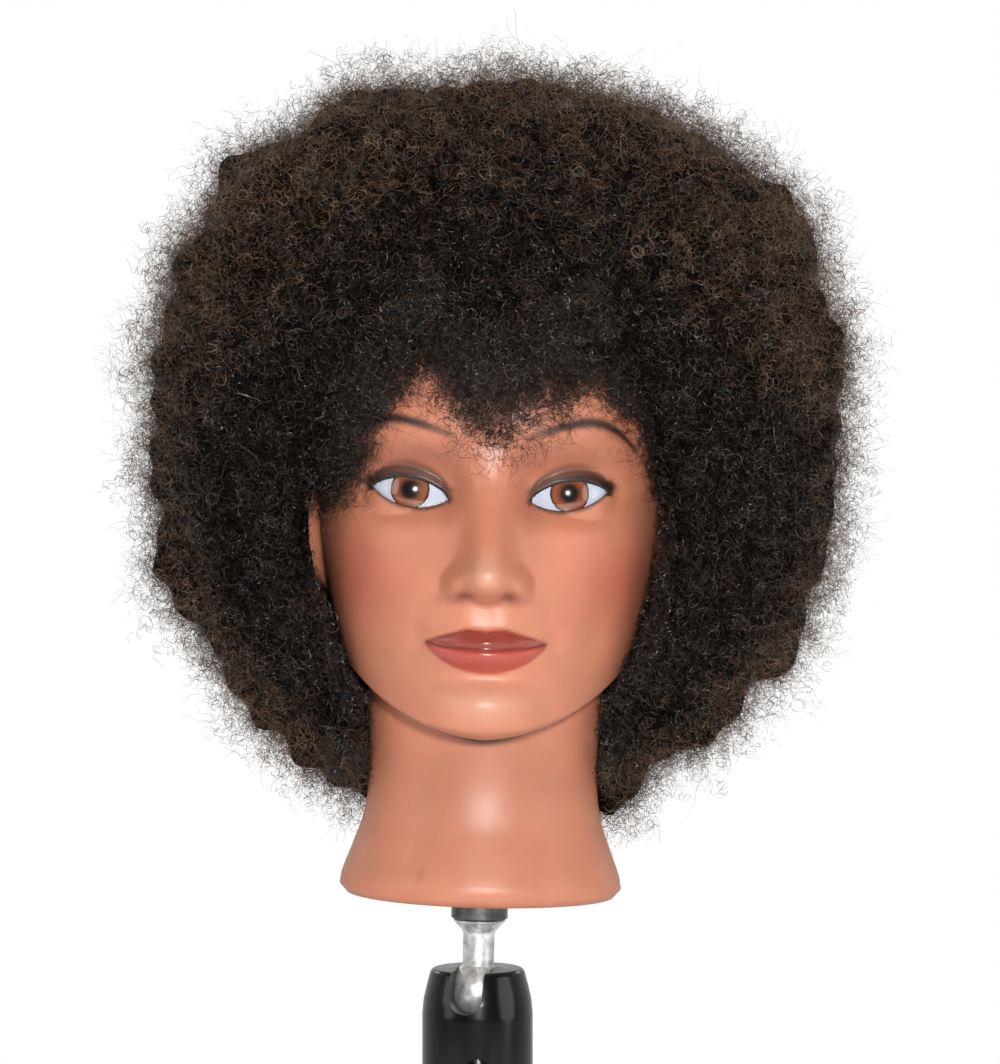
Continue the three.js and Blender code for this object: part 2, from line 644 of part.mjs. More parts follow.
head.add(piece('head_skin', headSkin(), VINYL));
head.add(piece('hair', hairMass(), HAIR));
head.add(piece('eye_left', eyeball(1, EYE.radius), EYE_WHITE));
head.add(piece('eye_right', eyeball(-1, EYE.radius), EYE_WHITE));
head.add(piece('neck_plug', neckPlug(), RIGID_PLASTIC));
head.add(piece('peg_sleeve', pegSleeve(), NYLON));

leaning.add(piece('peg', peg(), CHROME));
leaning.add(piece('ball_stud', ballStud(), CHROME));

socket.add(piece('socket_housing', socketHousing(), GLOSS_BLACK));
socket.add(piece('brake_shoe', brakeShoe(), NYLON));

const lock = new THREE.Group();
lock.position.z = CAM_HEIGHT;
socket.add(lock);
lock.add(piece('cam_shaft', camShaft(), STEEL));
lock.add(piece('cam_cap', camCap(), GLOSS_BLACK));
lock.add(piece('lock_lever', lockLever(), STEEL));
lock.add(piece('lever_grip', leverGrip(), GRIP));
lock.add(piece('lever_nut', leverNut(), STEEL));

object.add(piece('clamp_frame', clampFrame(), GLOSS_BLACK));
object.add(piece('jaw_pad', jawPad(), RUBBER));
object.add(piece('friction_washer', washer(BOLT_RADIUS + GAP, 20, JAW_TOP + GAP, 1.6), NYLON));
const boltWasherFrom = BALL_HEIGHT + SOCKET_FLOOR + FLOOR_THICKNESS + GAP;
object.add(piece('bolt_washer', washer(BOLT_RADIUS + GAP, 10, boltWasherFrom, 1.6), STEEL));
object.add(piece('pivot_bolt', pivotBolt(), STEEL));
object.add(piece('pressure_pad', pressurePad(), STEEL));
object.add(piece('pad_face', rod(PAD.radius - 1, PAD_FACE_TOP - PAD.faceThickness, PAD_FACE_TOP), RUBBER));
object.add(piece('clamp_screw', clampScrew(), STEEL));
object.add(piece('tommy_bar', tommyBar(), STEEL));
object.add(piece('bar_cap_left', barCap(1), GRIP));
object.add(piece('bar_cap_right', barCap(-1), GRIP));

export default object;
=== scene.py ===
"""A mannequin training head on its ball-joint holder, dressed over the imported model.

Everything is in metres in the model's own frame. The head has a drawing frame of its own,
in millimetres: origin in the middle of the neck's underside, +Z up through the crown, the
face looking along -Y. to_row() brings its points into the model's frame. Left and right are
the head's own in the pieces' names, and the viewer's in the comments.
"""
import json
import math
from collections import namedtuple

import bpy
import numpy as np
from mathutils import Matrix, Vector


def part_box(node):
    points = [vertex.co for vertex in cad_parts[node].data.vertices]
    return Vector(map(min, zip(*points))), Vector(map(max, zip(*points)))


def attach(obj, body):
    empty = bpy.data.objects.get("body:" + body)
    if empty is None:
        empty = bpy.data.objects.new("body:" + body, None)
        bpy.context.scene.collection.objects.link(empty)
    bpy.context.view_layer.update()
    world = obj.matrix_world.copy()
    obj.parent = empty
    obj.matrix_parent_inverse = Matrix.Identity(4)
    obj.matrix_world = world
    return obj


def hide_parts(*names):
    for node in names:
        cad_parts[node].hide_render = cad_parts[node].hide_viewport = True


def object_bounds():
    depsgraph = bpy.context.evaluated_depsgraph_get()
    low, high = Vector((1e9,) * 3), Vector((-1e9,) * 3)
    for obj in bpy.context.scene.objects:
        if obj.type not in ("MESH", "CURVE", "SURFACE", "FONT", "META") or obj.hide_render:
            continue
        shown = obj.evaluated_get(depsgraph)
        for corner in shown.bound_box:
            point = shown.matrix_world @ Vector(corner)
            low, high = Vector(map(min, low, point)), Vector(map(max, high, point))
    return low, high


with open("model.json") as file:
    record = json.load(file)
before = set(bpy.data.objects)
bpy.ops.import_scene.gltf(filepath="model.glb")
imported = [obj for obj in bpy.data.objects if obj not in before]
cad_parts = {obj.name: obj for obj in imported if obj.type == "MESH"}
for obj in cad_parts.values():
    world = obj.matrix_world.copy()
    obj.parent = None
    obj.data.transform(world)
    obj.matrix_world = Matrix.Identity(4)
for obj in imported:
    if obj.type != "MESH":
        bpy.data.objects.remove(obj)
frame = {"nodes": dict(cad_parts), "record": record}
cad_box = [list(corner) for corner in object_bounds()]

MM = 0.001
SEED = 7
rng = np.random.default_rng(SEED)

# ------------------------------------------------------------------ driving dimensions
BALL_HEIGHT = 90 * MM  # in metres; the rest is in millimetres
BALL_RADIUS = 12.3
STEM_RADIUS = 6.4
PEG_RADIUS = 11.6
PEG_START = 29.6  # above the ball's centre
PEG_LENGTH = 88
BASE_ABOVE_BALL = 40
LEAN = math.radians(1.5)
SOCKET_RADIUS = 22.6
SLOT_AZIMUTH = math.radians(13)

COLUMNS = 400  # of the skin's mesh, round the head
ROWS = 240  # of the skin's mesh, from the neck's base to the crown
SKULL_TOP = 270.0

# height, half width, reach to the front, reach to the back, squareness of the front
FACE_SECTIONS = {
    "below the jaw": (60, 46, 87, 46, 2.0),
    "chin": (80, 51, 89, 50, 2.0),
    "fold below the lip": (92, 55.5, 86, 56, 2.05),
    "mouth": (103, 59.8, 88, 62, 2.1),
    "nose base": (122, 64.6, 89, 72, 2.2),
    "cheekbones": (144, 68.4, 88, 84, 2.3),
    "eyes": (165, 69.6, 87, 92, 2.35),
    "brows": (182, 71, 92, 95, 2.4),
    "foot of the dome": (202, 72.5, 94.5, 96, 2.3),
}
DOME_FOOT = 202.0
DOME_POWER = 2.3
# height, half width, reach to the front, reach to the back
NECK_SECTIONS = {
    "base edge": (0, 54.5, 54, 55),
    "base roll": (4, 57.5, 57, 58),
    "flare": (19, 52.6, 52, 54),
    "above the flare": (31, 48.5, 47.5, 51),
    "waist": (48, 46.5, 46, 49),
    "throat": (74, 47.5, 50, 50),
    "inside the jaw": (110, 49, 56, 54),
}
NECK_TOP, NECK_GONE = 110.0, 130.0  # where its stations end, and where the head hides it
JAW_CHIN, JAW_CORNER, JAW_NAPE = 65.4, 88.0, 128.0  # heights of the jaw's edge
JAW_ROUND = 7.0  # height that the jaw's rounded edge takes
JAW_FLAT = 0.5  # how level the edge stays under the chin
NECK_BLEND = (1.2, 5.0)  # of neck and head, at the front and at the back


# ------------------------------------------------------------------ small maths helpers
def clamp01(value):
    return np.clip(value, 0.0, 1.0)


def smoothstep(value, low, high):
    t = clamp01((value - low) / (high - low))
    return t * t * (3 - 2 * t)


def mix(a, b, t):
    return a + (b - a) * t


def bump(x, z, centre_x, centre_z, width, height, power=2.0):
    """1 at the centre, falling off smoothly over width and height."""
    away = ((x - centre_x) / width) ** 2 + ((z - centre_z) / height) ** 2
    return np.exp(-(away ** (power / 2)))


def ridge_at(value, place, width):
    """1 at the place, falling off smoothly over the width."""
    return np.exp(-(((value - place) / width) ** 2))


def hermite(t, start, end, slope_in, slope_out):
    """A cubic from start to end as t goes from 0 to 1, with the given slopes at its ends."""
    t2, t3 = t * t, t * t * t
    low = (2 * t3 - 3 * t2 + 1) * start + (t3 - 2 * t2 + t) * slope_in
    return low + (3 * t2 - 2 * t3) * end + (t3 - t2) * slope_out


def smooth_table(value, places, amounts):
    """A smooth line through the amounts at the places."""
    places, amounts = np.array(places, float), np.array(amounts, float)
    k = np.clip(np.searchsorted(places, value) - 1, 0, len(places) - 2)
    span = places[k + 1] - places[k]
    slope = np.gradient(amounts, places)
    t = clamp01((value - places[k]) / span)
    return hermite(t, amounts[k], amounts[k + 1], slope[k] * span, slope[k + 1] * span)


def unit(vectors):
    return vectors / np.maximum(np.linalg.norm(vectors, axis=-1, keepdims=True), 1e-9)


def srgb(red, green, blue):
    """Linear colour of an sRGB colour given in 0 to 255."""
    channels = np.array([red, green, blue], float) / 255
    return np.where(channels <= 0.04045, channels / 12.92, ((channels + 0.055) / 1.055) ** 2.4)


def head_matrix():
    ball = Matrix.Translation((0, 0, BALL_HEIGHT))
    return ball @ Matrix.Rotation(LEAN, 4, "Y") @ Matrix.Translation((0, 0, BASE_ABOVE_BALL * MM))


def to_row(points_mm):
    matrix = np.array(head_matrix())
    return (np.asarray(points_mm) * MM) @ matrix[:3, :3].T + matrix[:3, 3]


def row_to_head(points):
    inverse = np.array(head_matrix().inverted())
    return (points @ inverse[:3, :3].T + inverse[:3, 3]) / MM


# ------------------------------------------------------------------ head form
def along_sections(sections, z):
    """Each column of the stations, smoothly interpolated at the heights z."""
    rows = np.array(list(sections.values()), float)
    heights, values = rows[:, 0], rows[:, 1:]
    k = np.clip(np.searchsorted(heights, z) - 1, 0, len(heights) - 2)
    before, after = np.maximum(k - 1, 0), np.minimum(k + 2, len(heights) - 1)
    span = heights[k + 1] - heights[k]
    t = clamp01((z - heights[k]) / span)[..., None]
    share_in = (span / (heights[k + 1] - heights[before]))[..., None]
    share_out = (span / (heights[after] - heights[k]))[..., None]
    slope_in = (values[k + 1] - values[before]) * share_in
    slope_out = (values[after] - values[k]) * share_out
    return np.moveaxis(hermite(t, values[k], values[k + 1], slope_in, slope_out), -1, 0)


def reach(phi, half, front, back, square=2.0):
    """Reach of a section from the neck's axis, phi round from straight ahead."""
    ahead = np.cos(phi)
    power = np.where(ahead > 0, square, 2.0)
    across = (np.abs(np.sin(phi)) / half) ** power
    along = (np.abs(ahead) / np.where(ahead > 0, front, back)) ** power
    return (across + along) ** (-1 / power)


def jaw_edge(phi):
    """Height of the jaw's edge: level under the chin, then climbing to its corners."""
    side = np.abs(np.sin(phi))
    climb = (1 + JAW_FLAT) * side**2 / (side + JAW_FLAT)
    return np.where(np.cos(phi) > 0, mix(JAW_CHIN, JAW_CORNER, climb), mix(JAW_NAPE, JAW_CORNER, side))


def jaw_share(phi, z):
    """How much of its section the face keeps just above the jaw's edge."""
    rise = clamp01((z - jaw_edge(phi)) / JAW_ROUND)
    return (1 - (1 - rise) ** 3) ** (1 / 3)


def dome_share(z):
    """How much of its section the crown keeps at the height z."""
    rise = clamp01((z - DOME_FOOT) / (SKULL_TOP - DOME_FOOT))
    return (1 - rise**DOME_POWER) ** (1 / DOME_POWER)


def head_radius(phi, z):
    """Reach of the head and neck, with a soft fillet where the two meet."""
    half, front, back, square = along_sections(FACE_SECTIONS, np.minimum(z, DOME_FOOT))
    face = reach(phi, half, front, back, square) * dome_share(z) * jaw_share(phi, z)
    half, front, back = along_sections(NECK_SECTIONS, np.minimum(z, NECK_TOP))
    neck = np.where(z > NECK_GONE, 0, reach(phi, half, front, back))
    soft = mix(*NECK_BLEND, clamp01(-np.cos(phi) + 0.4))
    overlap = np.maximum(soft - np.abs(face - neck), 0) / soft
    return np.maximum(face, neck) + overlap**2 * soft / 4


def face_front(x, z):
    """How far ahead of the neck's axis the plain face lies at the place x, z."""
    half, front, _, square = along_sections(FACE_SECTIONS, np.minimum(z, DOME_FOOT))
    share = dome_share(z)
    inside = clamp01(1 - (np.abs(x) / (half * share)) ** square)
    return front * share * inside ** (1 / square)


# ------------------------------------------------------------------ features of the face
EYE_X, EYE_Z = 30.4, 162.4  # the eye's middle
EYE_HALF = 14.8
EYE_CORNERS = (159.8, 164.0)  # heights of the inner and the outer corner
LID_RISE = 5.9  # of each lid above or below the line between the corners
IRIS_X, IRIS_Z = 30.7, 163.0
IRIS_TURN = 0.1  # slope that turns the iris to look straight ahead
DOME_RADIUS = 22.0  # of the eyeball's front
DOME_TURN = math.radians(8)  # outwards
DOME_FRONT = 77.6
LID_LENGTH = 17  # half the length of the crease above the eye
LID_CREASE = (3.0, 4.8)  # its height above the lid's edge, at the ends and in the middle

LIP_HALF = 23.5
LIP_LINE = 102.9
NOSE_WING = (11.0, 127.8)  # centre of the wing, from the middle and up

# height, how far it stands out, half width
NOSE = [
    (116, 0.0, 7.0), (119.5, 1.0, 7.6), (121.5, 7.0, 8.4), (124, 15.5, 9.6), (127, 20.0, 10.4),
    (131, 21.2, 10.0), (137, 18.4, 8.8), (146, 13.6, 8.2), (155, 9.4, 8.2), (164, 6.0, 9.0),
    (172, 3.0, 11.0), (180, 0.0, 13.0),
]

# How far each soft rise stands out of the plain face, or sinks in where negative, and its
# form as bump() takes it: distance from the middle, height, half width, half height, power.
RISES = {
    "foot of the nose": (3.4, (0, 138, 17, 26)),
    "nostril": (-1.0, (7.8, 123.2, 3.0, 1.5, 3)),
    "muzzle": (3.4, (0, 103, 26, 19)),
    "middle of the upper lip": (0.9, (0, 105, 3.6, 3.0)),
    "corner of the mouth": (-1.2, (25.5, 104.6, 3.4, 4.0)),
    "philtrum": (-0.8, (0, 115.5, 4.4, 7.0)),
    "fold below the lip": (-2.2, (0, 91.0, 16, 4.2)),
    "chin": (4.2, (0, 81.5, 18, 10)),
    "cheek": (3.2, (40, 139, 18, 17)),
    "hollow of the cheek": (-1.2, (40, 108, 13, 14)),
    "forehead": (1.6, (0, 206, 40, 18)),
}
EYE_RISES = {
    "socket": (-6.4, (33, 165.5, 20, 12.5, 3.2)),
    "beside the bridge": (-3.6, (15.5, 166.5, 6.5, 10)),
    "brow": (1.6, (30, 186, 24, 7)),
    "below the eye": (0.5, (30, 147, 14, 5)),
}


def rises(table, x, z):
    """The sum of a table's rises, alike on both sides of the face."""
    return sum(far * bump(np.abs(x), z, *form) for far, form in table.values())


def eye_curves(side):
    """Heights of the upper and lower lid's edges at the distance side from the middle."""
    u = (side - EYE_X) / EYE_HALF
    inside = np.maximum(1 - u**2, 0)
    line = mix(*EYE_CORNERS, clamp01((u + 1) / 2))
    upper = line + LID_RISE * inside**0.72 * (1 - 0.05 * u)
    lower = line - LID_RISE * inside**0.80 * (1 + 0.05 * u)
    return upper, lower


def eye_dome(side, z, proud=0.0):
    """How far ahead of the neck's axis the eyeball's front lies."""
    radius = DOME_RADIUS + proud
    centre_side = EYE_X - DOME_RADIUS * math.sin(DOME_TURN)
    centre_front = DOME_FRONT - DOME_RADIUS * math.cos(DOME_TURN)
    away = (side - centre_side) ** 2 + (z - EYE_Z) ** 2
    return centre_front + np.sqrt(np.maximum(radius**2 - away, 4.0))


def lid_crease(side):
    """Height of the crease above the upper lid's edge."""
    return mix(*LID_CREASE, clamp01(1 - ((side - EYE_X - 2) / LID_LENGTH) ** 2))


def lip_curves(x):
    """Heights of the upper lip's edge, the mouth's line and the lower lip's edge."""
    u = clamp01(np.abs(x) / LIP_HALF)
    line = LIP_LINE + 2.0 * u**2
    bow = 0.9 * ridge_at(np.abs(x), 7.4, 4.6) - 0.8 * ridge_at(x, 0, 3.2)
    upper = line + 7.2 * (1 - u**1.9) ** 0.9 + bow * (1 - u)
    lower = line - 9.6 * (1 - u**2.3) ** 0.75
    return upper, line, lower


def nose_relief(x, z):
    """The bridge, the round tip and the wings, melted into one another."""
    side = np.abs(x)
    lowered = z - 0.035 * side**2 * (1 - smoothstep(z, 128, 138))
    heights, depths, widths = zip(*NOSE)
    depth = np.maximum(smooth_table(lowered, heights, depths), 0)
    narrow = np.exp(-((side / smooth_table(lowered, heights, widths)) ** 2.7))
    ridge = depth * (0.66 * narrow + 0.34 * ridge_at(side, 0, 15.5))
    wing = 10.0 * bump(side, z, *NOSE_WING, 5.6, 5.8, 2.3)
    merged = (ridge**2.4 + wing**2.4) ** (1 / 2.4)
    from_wing = np.hypot(side - 10.6, (z - NOSE_WING[1]) * 0.95)
    behind_wing = smoothstep(side, 11, 15) * smoothstep(z, 121, 126)
    return merged - 0.7 * ridge_at(from_wing, 7.4, 1.7) * behind_wing


def mouth_relief(x, z):
    """The lips, the upper lip's rim and the line between them."""
    upper, line, lower = lip_curves(x)
    span = clamp01(1 - (np.abs(x) / 24.5) ** 2)
    above = clamp01((z - line) / np.maximum(upper - line, 0.5))
    below = clamp01((line - z) / np.maximum(line - lower, 0.5))
    top_lip = 3.6 * np.sqrt(span) * (1 - above) ** 0.55 * (above < 1)
    low_lip = 5.0 * np.sqrt(span) * np.sqrt(clamp01(1 - (2 * below - 0.75) ** 2 * 0.55)) * (1 - below**3)
    rim = 0.55 * ridge_at(z, upper, 0.9) * span
    parting = 1.9 * ridge_at(z, line, 1.0) * clamp01(1 - (np.abs(x) / 25.5) ** 4)
    return np.where(z > line, top_lip, low_lip) + rim - parting


def eye_relief(x, z, base):
    """The sockets, lids and brows, for a face whose own reach is base."""
    side = np.abs(x)
    upper, _ = eye_curves(side)
    relief = rises(EYE_RISES, x, z)
    lid = eye_dome(side, z, 1.9) - base
    near = clamp01((np.abs(side - EYE_X) - 11) / 9)
    lid_area = smoothstep(z, 149.5, 154.5) * (1 - smoothstep(z, 172, 179)) * (1 - near**2)
    relief = relief + np.maximum(lid - relief, 0) * lid_area
    span = smoothstep(side, 14, 20) * (1 - smoothstep(side, 44, 51))
    return relief - 1.3 * ridge_at(z, upper + lid_crease(side), 1.3) * span


def smile_fold(x, z):
    """The faint fold from the nose's wing down past the mouth's corner."""
    place = mix(30, 18.5, clamp01((z - 104) / 24))
    return -0.7 * ridge_at(np.abs(x), place, 3.2) * ridge_at(z, 116, 13)


def face_depth(x, z, base):
    features = nose_relief(x, z) + mouth_relief(x, z) + eye_relief(x, z, base)
    return features + rises(RISES, x, z) + smile_fold(x, z)


def ear_relief(phi, z):
    """A shallow ear on each side: an oval rim round a bowl, with the lobe below."""
    across = (np.abs(phi) - 1.62) / 0.23
    up = (z - 156) / 31
    oval = np.hypot(across, up)
    rim = 12.5 * ridge_at(oval, 0.74, 0.24)
    bowl = 5.0 * np.exp(-((oval / 0.7) ** 4))
    lobe = 11.0 * bump(across, up, -0.05, -0.72, 0.42, 0.24)
    return np.maximum(np.maximum(rim, bowl), lobe)


def head_points():
    """(rows, columns, 3) points of the head's skin, denser over the face, in millimetres."""
    turn = 2 * (np.arange(COLUMNS) + 0.5) / COLUMNS - 1
    phi = np.pi * (0.36 * turn + 0.64 * turn**3)
    samples = 1500
    z_line = (SKULL_TOP - 0.02) * np.sin(np.pi / 2 * np.arange(samples + 1) / samples)
    z_all = np.repeat(z_line[:, None], COLUMNS, axis=1)
    phi_all = np.repeat(phi[None], samples + 1, axis=0)
    radius = head_radius(phi_all, z_all) + ear_relief(phi_all, z_all)
    fine = np.stack([radius * np.sin(phi_all), -radius * np.cos(phi_all), z_all], axis=-1)
    step = np.linalg.norm(np.diff(fine, axis=0), axis=-1)
    middle = (z_all[1:] + z_all[:-1]) / 2
    weight = 1 + 4.5 * smoothstep(middle, 58, 64) * (1 - smoothstep(middle, 196, 212))
    length = np.concatenate([np.zeros((1, COLUMNS)), np.cumsum(step * weight, axis=0)])
    points = np.zeros((ROWS, COLUMNS, 3))
    for column in range(COLUMNS):
        targets = np.linspace(0, length[-1, column], ROWS)
        for axis in range(3):
            points[:, column, axis] = np.interp(targets, length[:, column], fine[:, column, axis])
    return points, phi


def snap_rows_to_lids(points):
    """Moves the nearest row of each column onto the lids' edges, so that they are crisp."""
    for column in range(points.shape[1]):
        x, y, z = points[:, column].T
        side = np.abs(x)
        for edge, into_eye in zip(eye_curves(side), (-1, 1)):
            away = np.where(y < -30, np.abs(z - edge), np.inf)
            k = int(np.argmin(away))
            if away[k] > 1.5 or abs(side[k] - EYE_X) > EYE_HALF * 0.985:
                continue
            z[k] = edge[k]
            z[k + into_eye] = edge[k] + 0.12 * into_eye


def shaped_head():
    """The skin's points with the face's features, sunk behind the eyeballs."""
    points, phi = head_points()
    snap_rows_to_lids(points)
    x, y, z = np.moveaxis(points, -1, 0)
    facing = smoothstep(np.cos(np.repeat(phi[None], ROWS, axis=0)), 0.1, 0.5)
    zone = smoothstep(z, 67.5, 73) * (1 - smoothstep(z, 214, 226))
    depth = face_depth(x, z, -y) * facing * zone
    side = np.abs(x)
    upper, lower = eye_curves(side)
    in_eye = (z < upper - 0.05) & (z > lower + 0.05) & (np.abs(side - EYE_X) < EYE_HALF) & (facing > 0)
    behind = -y + depth - (eye_dome(side, z) - 2.2)
    points[..., 1] = y - np.where(in_eye, depth - np.maximum(behind, 0), depth)
    return points


# ------------------------------------------------------------------ mesh helpers
def new_object(name, vertices, faces, smooth=True, cap=()):
    """A mesh of equal-sided faces and, where given, one more many-sided face."""
    mesh = bpy.data.meshes.new(name)
    vertices = np.ascontiguousarray(vertices, np.float32)
    corners = faces.shape[1]
    starts = np.arange(len(faces)) * corners
    loops = np.concatenate([np.asarray(faces).ravel(), cap]).astype(np.int32)
    if len(cap):
        starts = np.append(starts, faces.size)
    mesh.vertices.add(len(vertices))
    mesh.vertices.foreach_set("co", vertices.ravel())
    mesh.loops.add(len(loops))
    mesh.loops.foreach_set("vertex_index", loops)
    mesh.polygons.add(len(starts))
    mesh.polygons.foreach_set("loop_start", starts.astype(np.int32))
    mesh.polygons.foreach_set("use_smooth", np.full(len(starts), smooth))
    mesh.update(calc_edges=True)
    mesh.validate()
    made = bpy.data.objects.new(name, mesh)
    bpy.context.scene.collection.objects.link(made)
    return made


def mesh_points(piece):
    values = np.zeros(len(piece.data.vertices) * 3, np.float32)
    piece.data.vertices.foreach_get("co", values)
    return values.reshape(-1, 3).astype(float)


def mesh_triangles(piece, points):
    """The three corners of each triangle, taken from the points."""
    mesh = piece.data
    mesh.calc_loop_triangles()
    corners = np.zeros(len(mesh.loop_triangles) * 3, np.int32)
    mesh.loop_triangles.foreach_get("vertices", corners)
    return np.moveaxis(points[corners.reshape(-1, 3)], 1, 0)


def inside_out(piece):
    a, b, c = mesh_triangles(piece, mesh_points(piece))
    return (a * np.cross(b, c)).sum() < 0


def grid_faces(rows, columns, closed=True):
    count = columns if closed else columns - 1
    row, column = np.meshgrid(np.arange(rows - 1), np.arange(count), indexing="ij")
    a = row * columns + column
    b = row * columns + (column + 1) % columns
    return np.stack([a, b, b + columns, a + columns], axis=-1).reshape(-1, 4)


def turned(name, corners, sides=96, place=None):
    """A turned piece about Z from (radius, height) corners in millimetres, bottom to top."""
    corners = np.array(corners, float)
    angle = 2 * np.pi * np.arange(sides) / sides
    ring = np.stack([np.cos(angle), np.sin(angle)], axis=-1)
    radius = np.maximum(corners[:, 0], 1e-3)
    points = np.concatenate([
        radius[:, None, None] * ring[None],
        np.broadcast_to(corners[:, 1][:, None, None], (len(corners), sides, 1)),
    ], axis=-1)
    made = new_object(name, points.reshape(-1, 3) * MM, grid_faces(len(corners), sides))
    made.data.set_sharp_from_angle(angle=math.radians(38))
    if place is not None:
        made.matrix_world = place
    return made


def arc(radius, start, end, steps):
    """(radius, height) points of a circle about the axis, angles in degrees from the bottom."""
    angle = np.radians(np.linspace(start, end, steps))
    return [(radius * math.sin(a), -radius * math.cos(a)) for a in angle]


def filleted(corners, radius=0.6, steps=4):
    """The corners of a profile, each rounded off where there is room."""
    corners = [np.array(corner, float) for corner in corners]
    out = [corners[0]]
    for before, here, after in zip(corners, corners[1:], corners[2:]):
        to_before, to_after = before - here, after - here
        reach_back = min(radius, 0.45 * np.linalg.norm(to_before))
        reach_on = min(radius, 0.45 * np.linalg.norm(to_after))
        first = here + to_before / np.linalg.norm(to_before) * reach_back
        last = here + to_after / np.linalg.norm(to_after) * reach_on
        for t in np.linspace(0, 1, steps):
            out.append((1 - t) ** 2 * first + 2 * t * (1 - t) * here + t**2 * last)
    out.append(corners[-1])
    return out


def evaluated_mesh(piece):
    """The piece's mesh with its modifiers applied."""
    depsgraph = bpy.context.evaluated_depsgraph_get()
    return bpy.data.meshes.new_from_object(piece.evaluated_get(depsgraph))


def cut(target, cutter):
    modifier = target.modifiers.new("cut", "BOOLEAN")
    modifier.operation = "DIFFERENCE"
    modifier.solver = "EXACT"
    modifier.object = cutter
    mesh = evaluated_mesh(target)
    target.modifiers.clear()
    target.data = mesh
    bpy.data.objects.remove(cutter)


def soften_edges(piece, width, segments, degrees):
    bevel = piece.modifiers.new("edges", "BEVEL")
    bevel.width = width * MM
    bevel.segments = segments
    bevel.angle_limit = math.radians(degrees)


def finish_piece(piece, body, slot, material, *nodes):
    piece.data.materials.clear()
    piece.data.materials.append(material)
    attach(piece, body)
    if nodes:
        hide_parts(*nodes)
    return piece


# ------------------------------------------------------------------ materials
class Nodes:
    """A node tree with a short way to add, set and link nodes."""

    def __init__(self, owner):
        owner.use_nodes = True
        self.owner = owner
        self.tree = owner.node_tree

    def add(self, kind, inputs=(), **settings):
        """A node with its settings, and with values or sockets for its inputs."""
        node = self.tree.nodes.new(kind)
        for key, value in settings.items():
            setattr(node, key, value)
        for key, value in dict(inputs).items():
            if isinstance(value, bpy.types.NodeSocket):
                self.link(value, node.inputs[key])
            else:
                node.inputs[key].default_value = value
        return node

    def link(self, source, target):
        self.tree.links.new(source, target)

    def position(self):
        return self.add("ShaderNodeTexCoord").outputs["Object"]

    def noise(self, scale, detail=4.0, roughness=0.5):
        inputs = {"Scale": scale, "Detail": detail, "Roughness": roughness, "Vector": self.position()}
        return self.add("ShaderNodeTexNoise", inputs).outputs["Fac"]

    def ramp(self, factor, *stops):
        node = self.add("ShaderNodeValToRGB", {"Fac": factor})
        elements = node.color_ramp.elements
        while len(elements) < len(stops):
            elements.new(0.5)
        for element, (place, colour) in zip(elements, stops):
            element.position = place
            element.color = (*colour, 1)
        return node.outputs["Color"]

    def map_range(self, factor, low, high, **settings):
        inputs = {"Value": factor, "To Min": low, "To Max": high}
        return self.add("ShaderNodeMapRange", inputs, **settings)

    def is_camera_ray(self):
        return self.add("ShaderNodeLightPath").outputs["Is Camera Ray"]


class Surface(Nodes):
    """A material whose looks go into its Principled shader."""

    def __init__(self, name, **values):
        super().__init__(bpy.data.materials.new(name))
        self.shader = next(n for n in self.tree.nodes if n.type == "BSDF_PRINCIPLED")
        for key, value in values.items():
            self.shader.inputs[key.replace("_", " ")].default_value = value

    def feed(self, source, name):
        self.link(source, self.shader.inputs[name])

    def mottle(self, noise, low, high, start=0.3, end=0.75):
        """The colour goes from low to high with a noise."""
        self.feed(self.ramp(self.noise(*noise), (start, tuple(low)), (end, tuple(high))), "Base Color")
        return self

    def roughen(self, noise, low, high):
        """The roughness goes from low to high with a noise."""
        self.feed(self.map_range(self.noise(*noise), low, high).outputs["Result"], "Roughness")
        return self

    def grain(self, noise, strength, distance):
        """A fine relief by a noise."""
        inputs = {"Strength": strength, "Distance": distance, "Height": self.noise(*noise)}
        self.feed(self.add("ShaderNodeBump", inputs).outputs["Normal"], "Normal")
        return self


def vinyl_material():
    """Skin that takes its colour and gloss from the mesh's own paint."""
    surface = Surface("vinyl", Subsurface_Weight=0.12, Subsurface_Scale=0.01, IOR=1.5,
                      Subsurface_Radius=(1.0, 0.35, 0.2))
    paint = surface.add("ShaderNodeAttribute", attribute_name="paint").outputs["Color"]
    mottle = surface.ramp(surface.noise(55, 5), (0.3, (0.90, 0.90, 0.90)), (0.7, (1.05, 1.04, 1.04)))
    blend = surface.add("ShaderNodeMix", data_type="RGBA", blend_type="MULTIPLY")
    blend.inputs["Factor"].default_value = 1.0
    surface.link(paint, blend.inputs["A"])
    surface.link(mottle, blend.inputs["B"])
    surface.feed(blend.outputs["Result"], "Base Color")
    gloss = surface.add("ShaderNodeAttribute", attribute_name="gloss").outputs["Fac"]
    surface.feed(surface.map_range(gloss, 0.45, 0.28).outputs["Result"], "Roughness")
    surface.feed(surface.map_range(gloss, 0.65, 0.75).outputs["Result"], "Specular IOR Level")
    surface.grain((900, 3), 0.05, 0.0004)
    return surface.owner


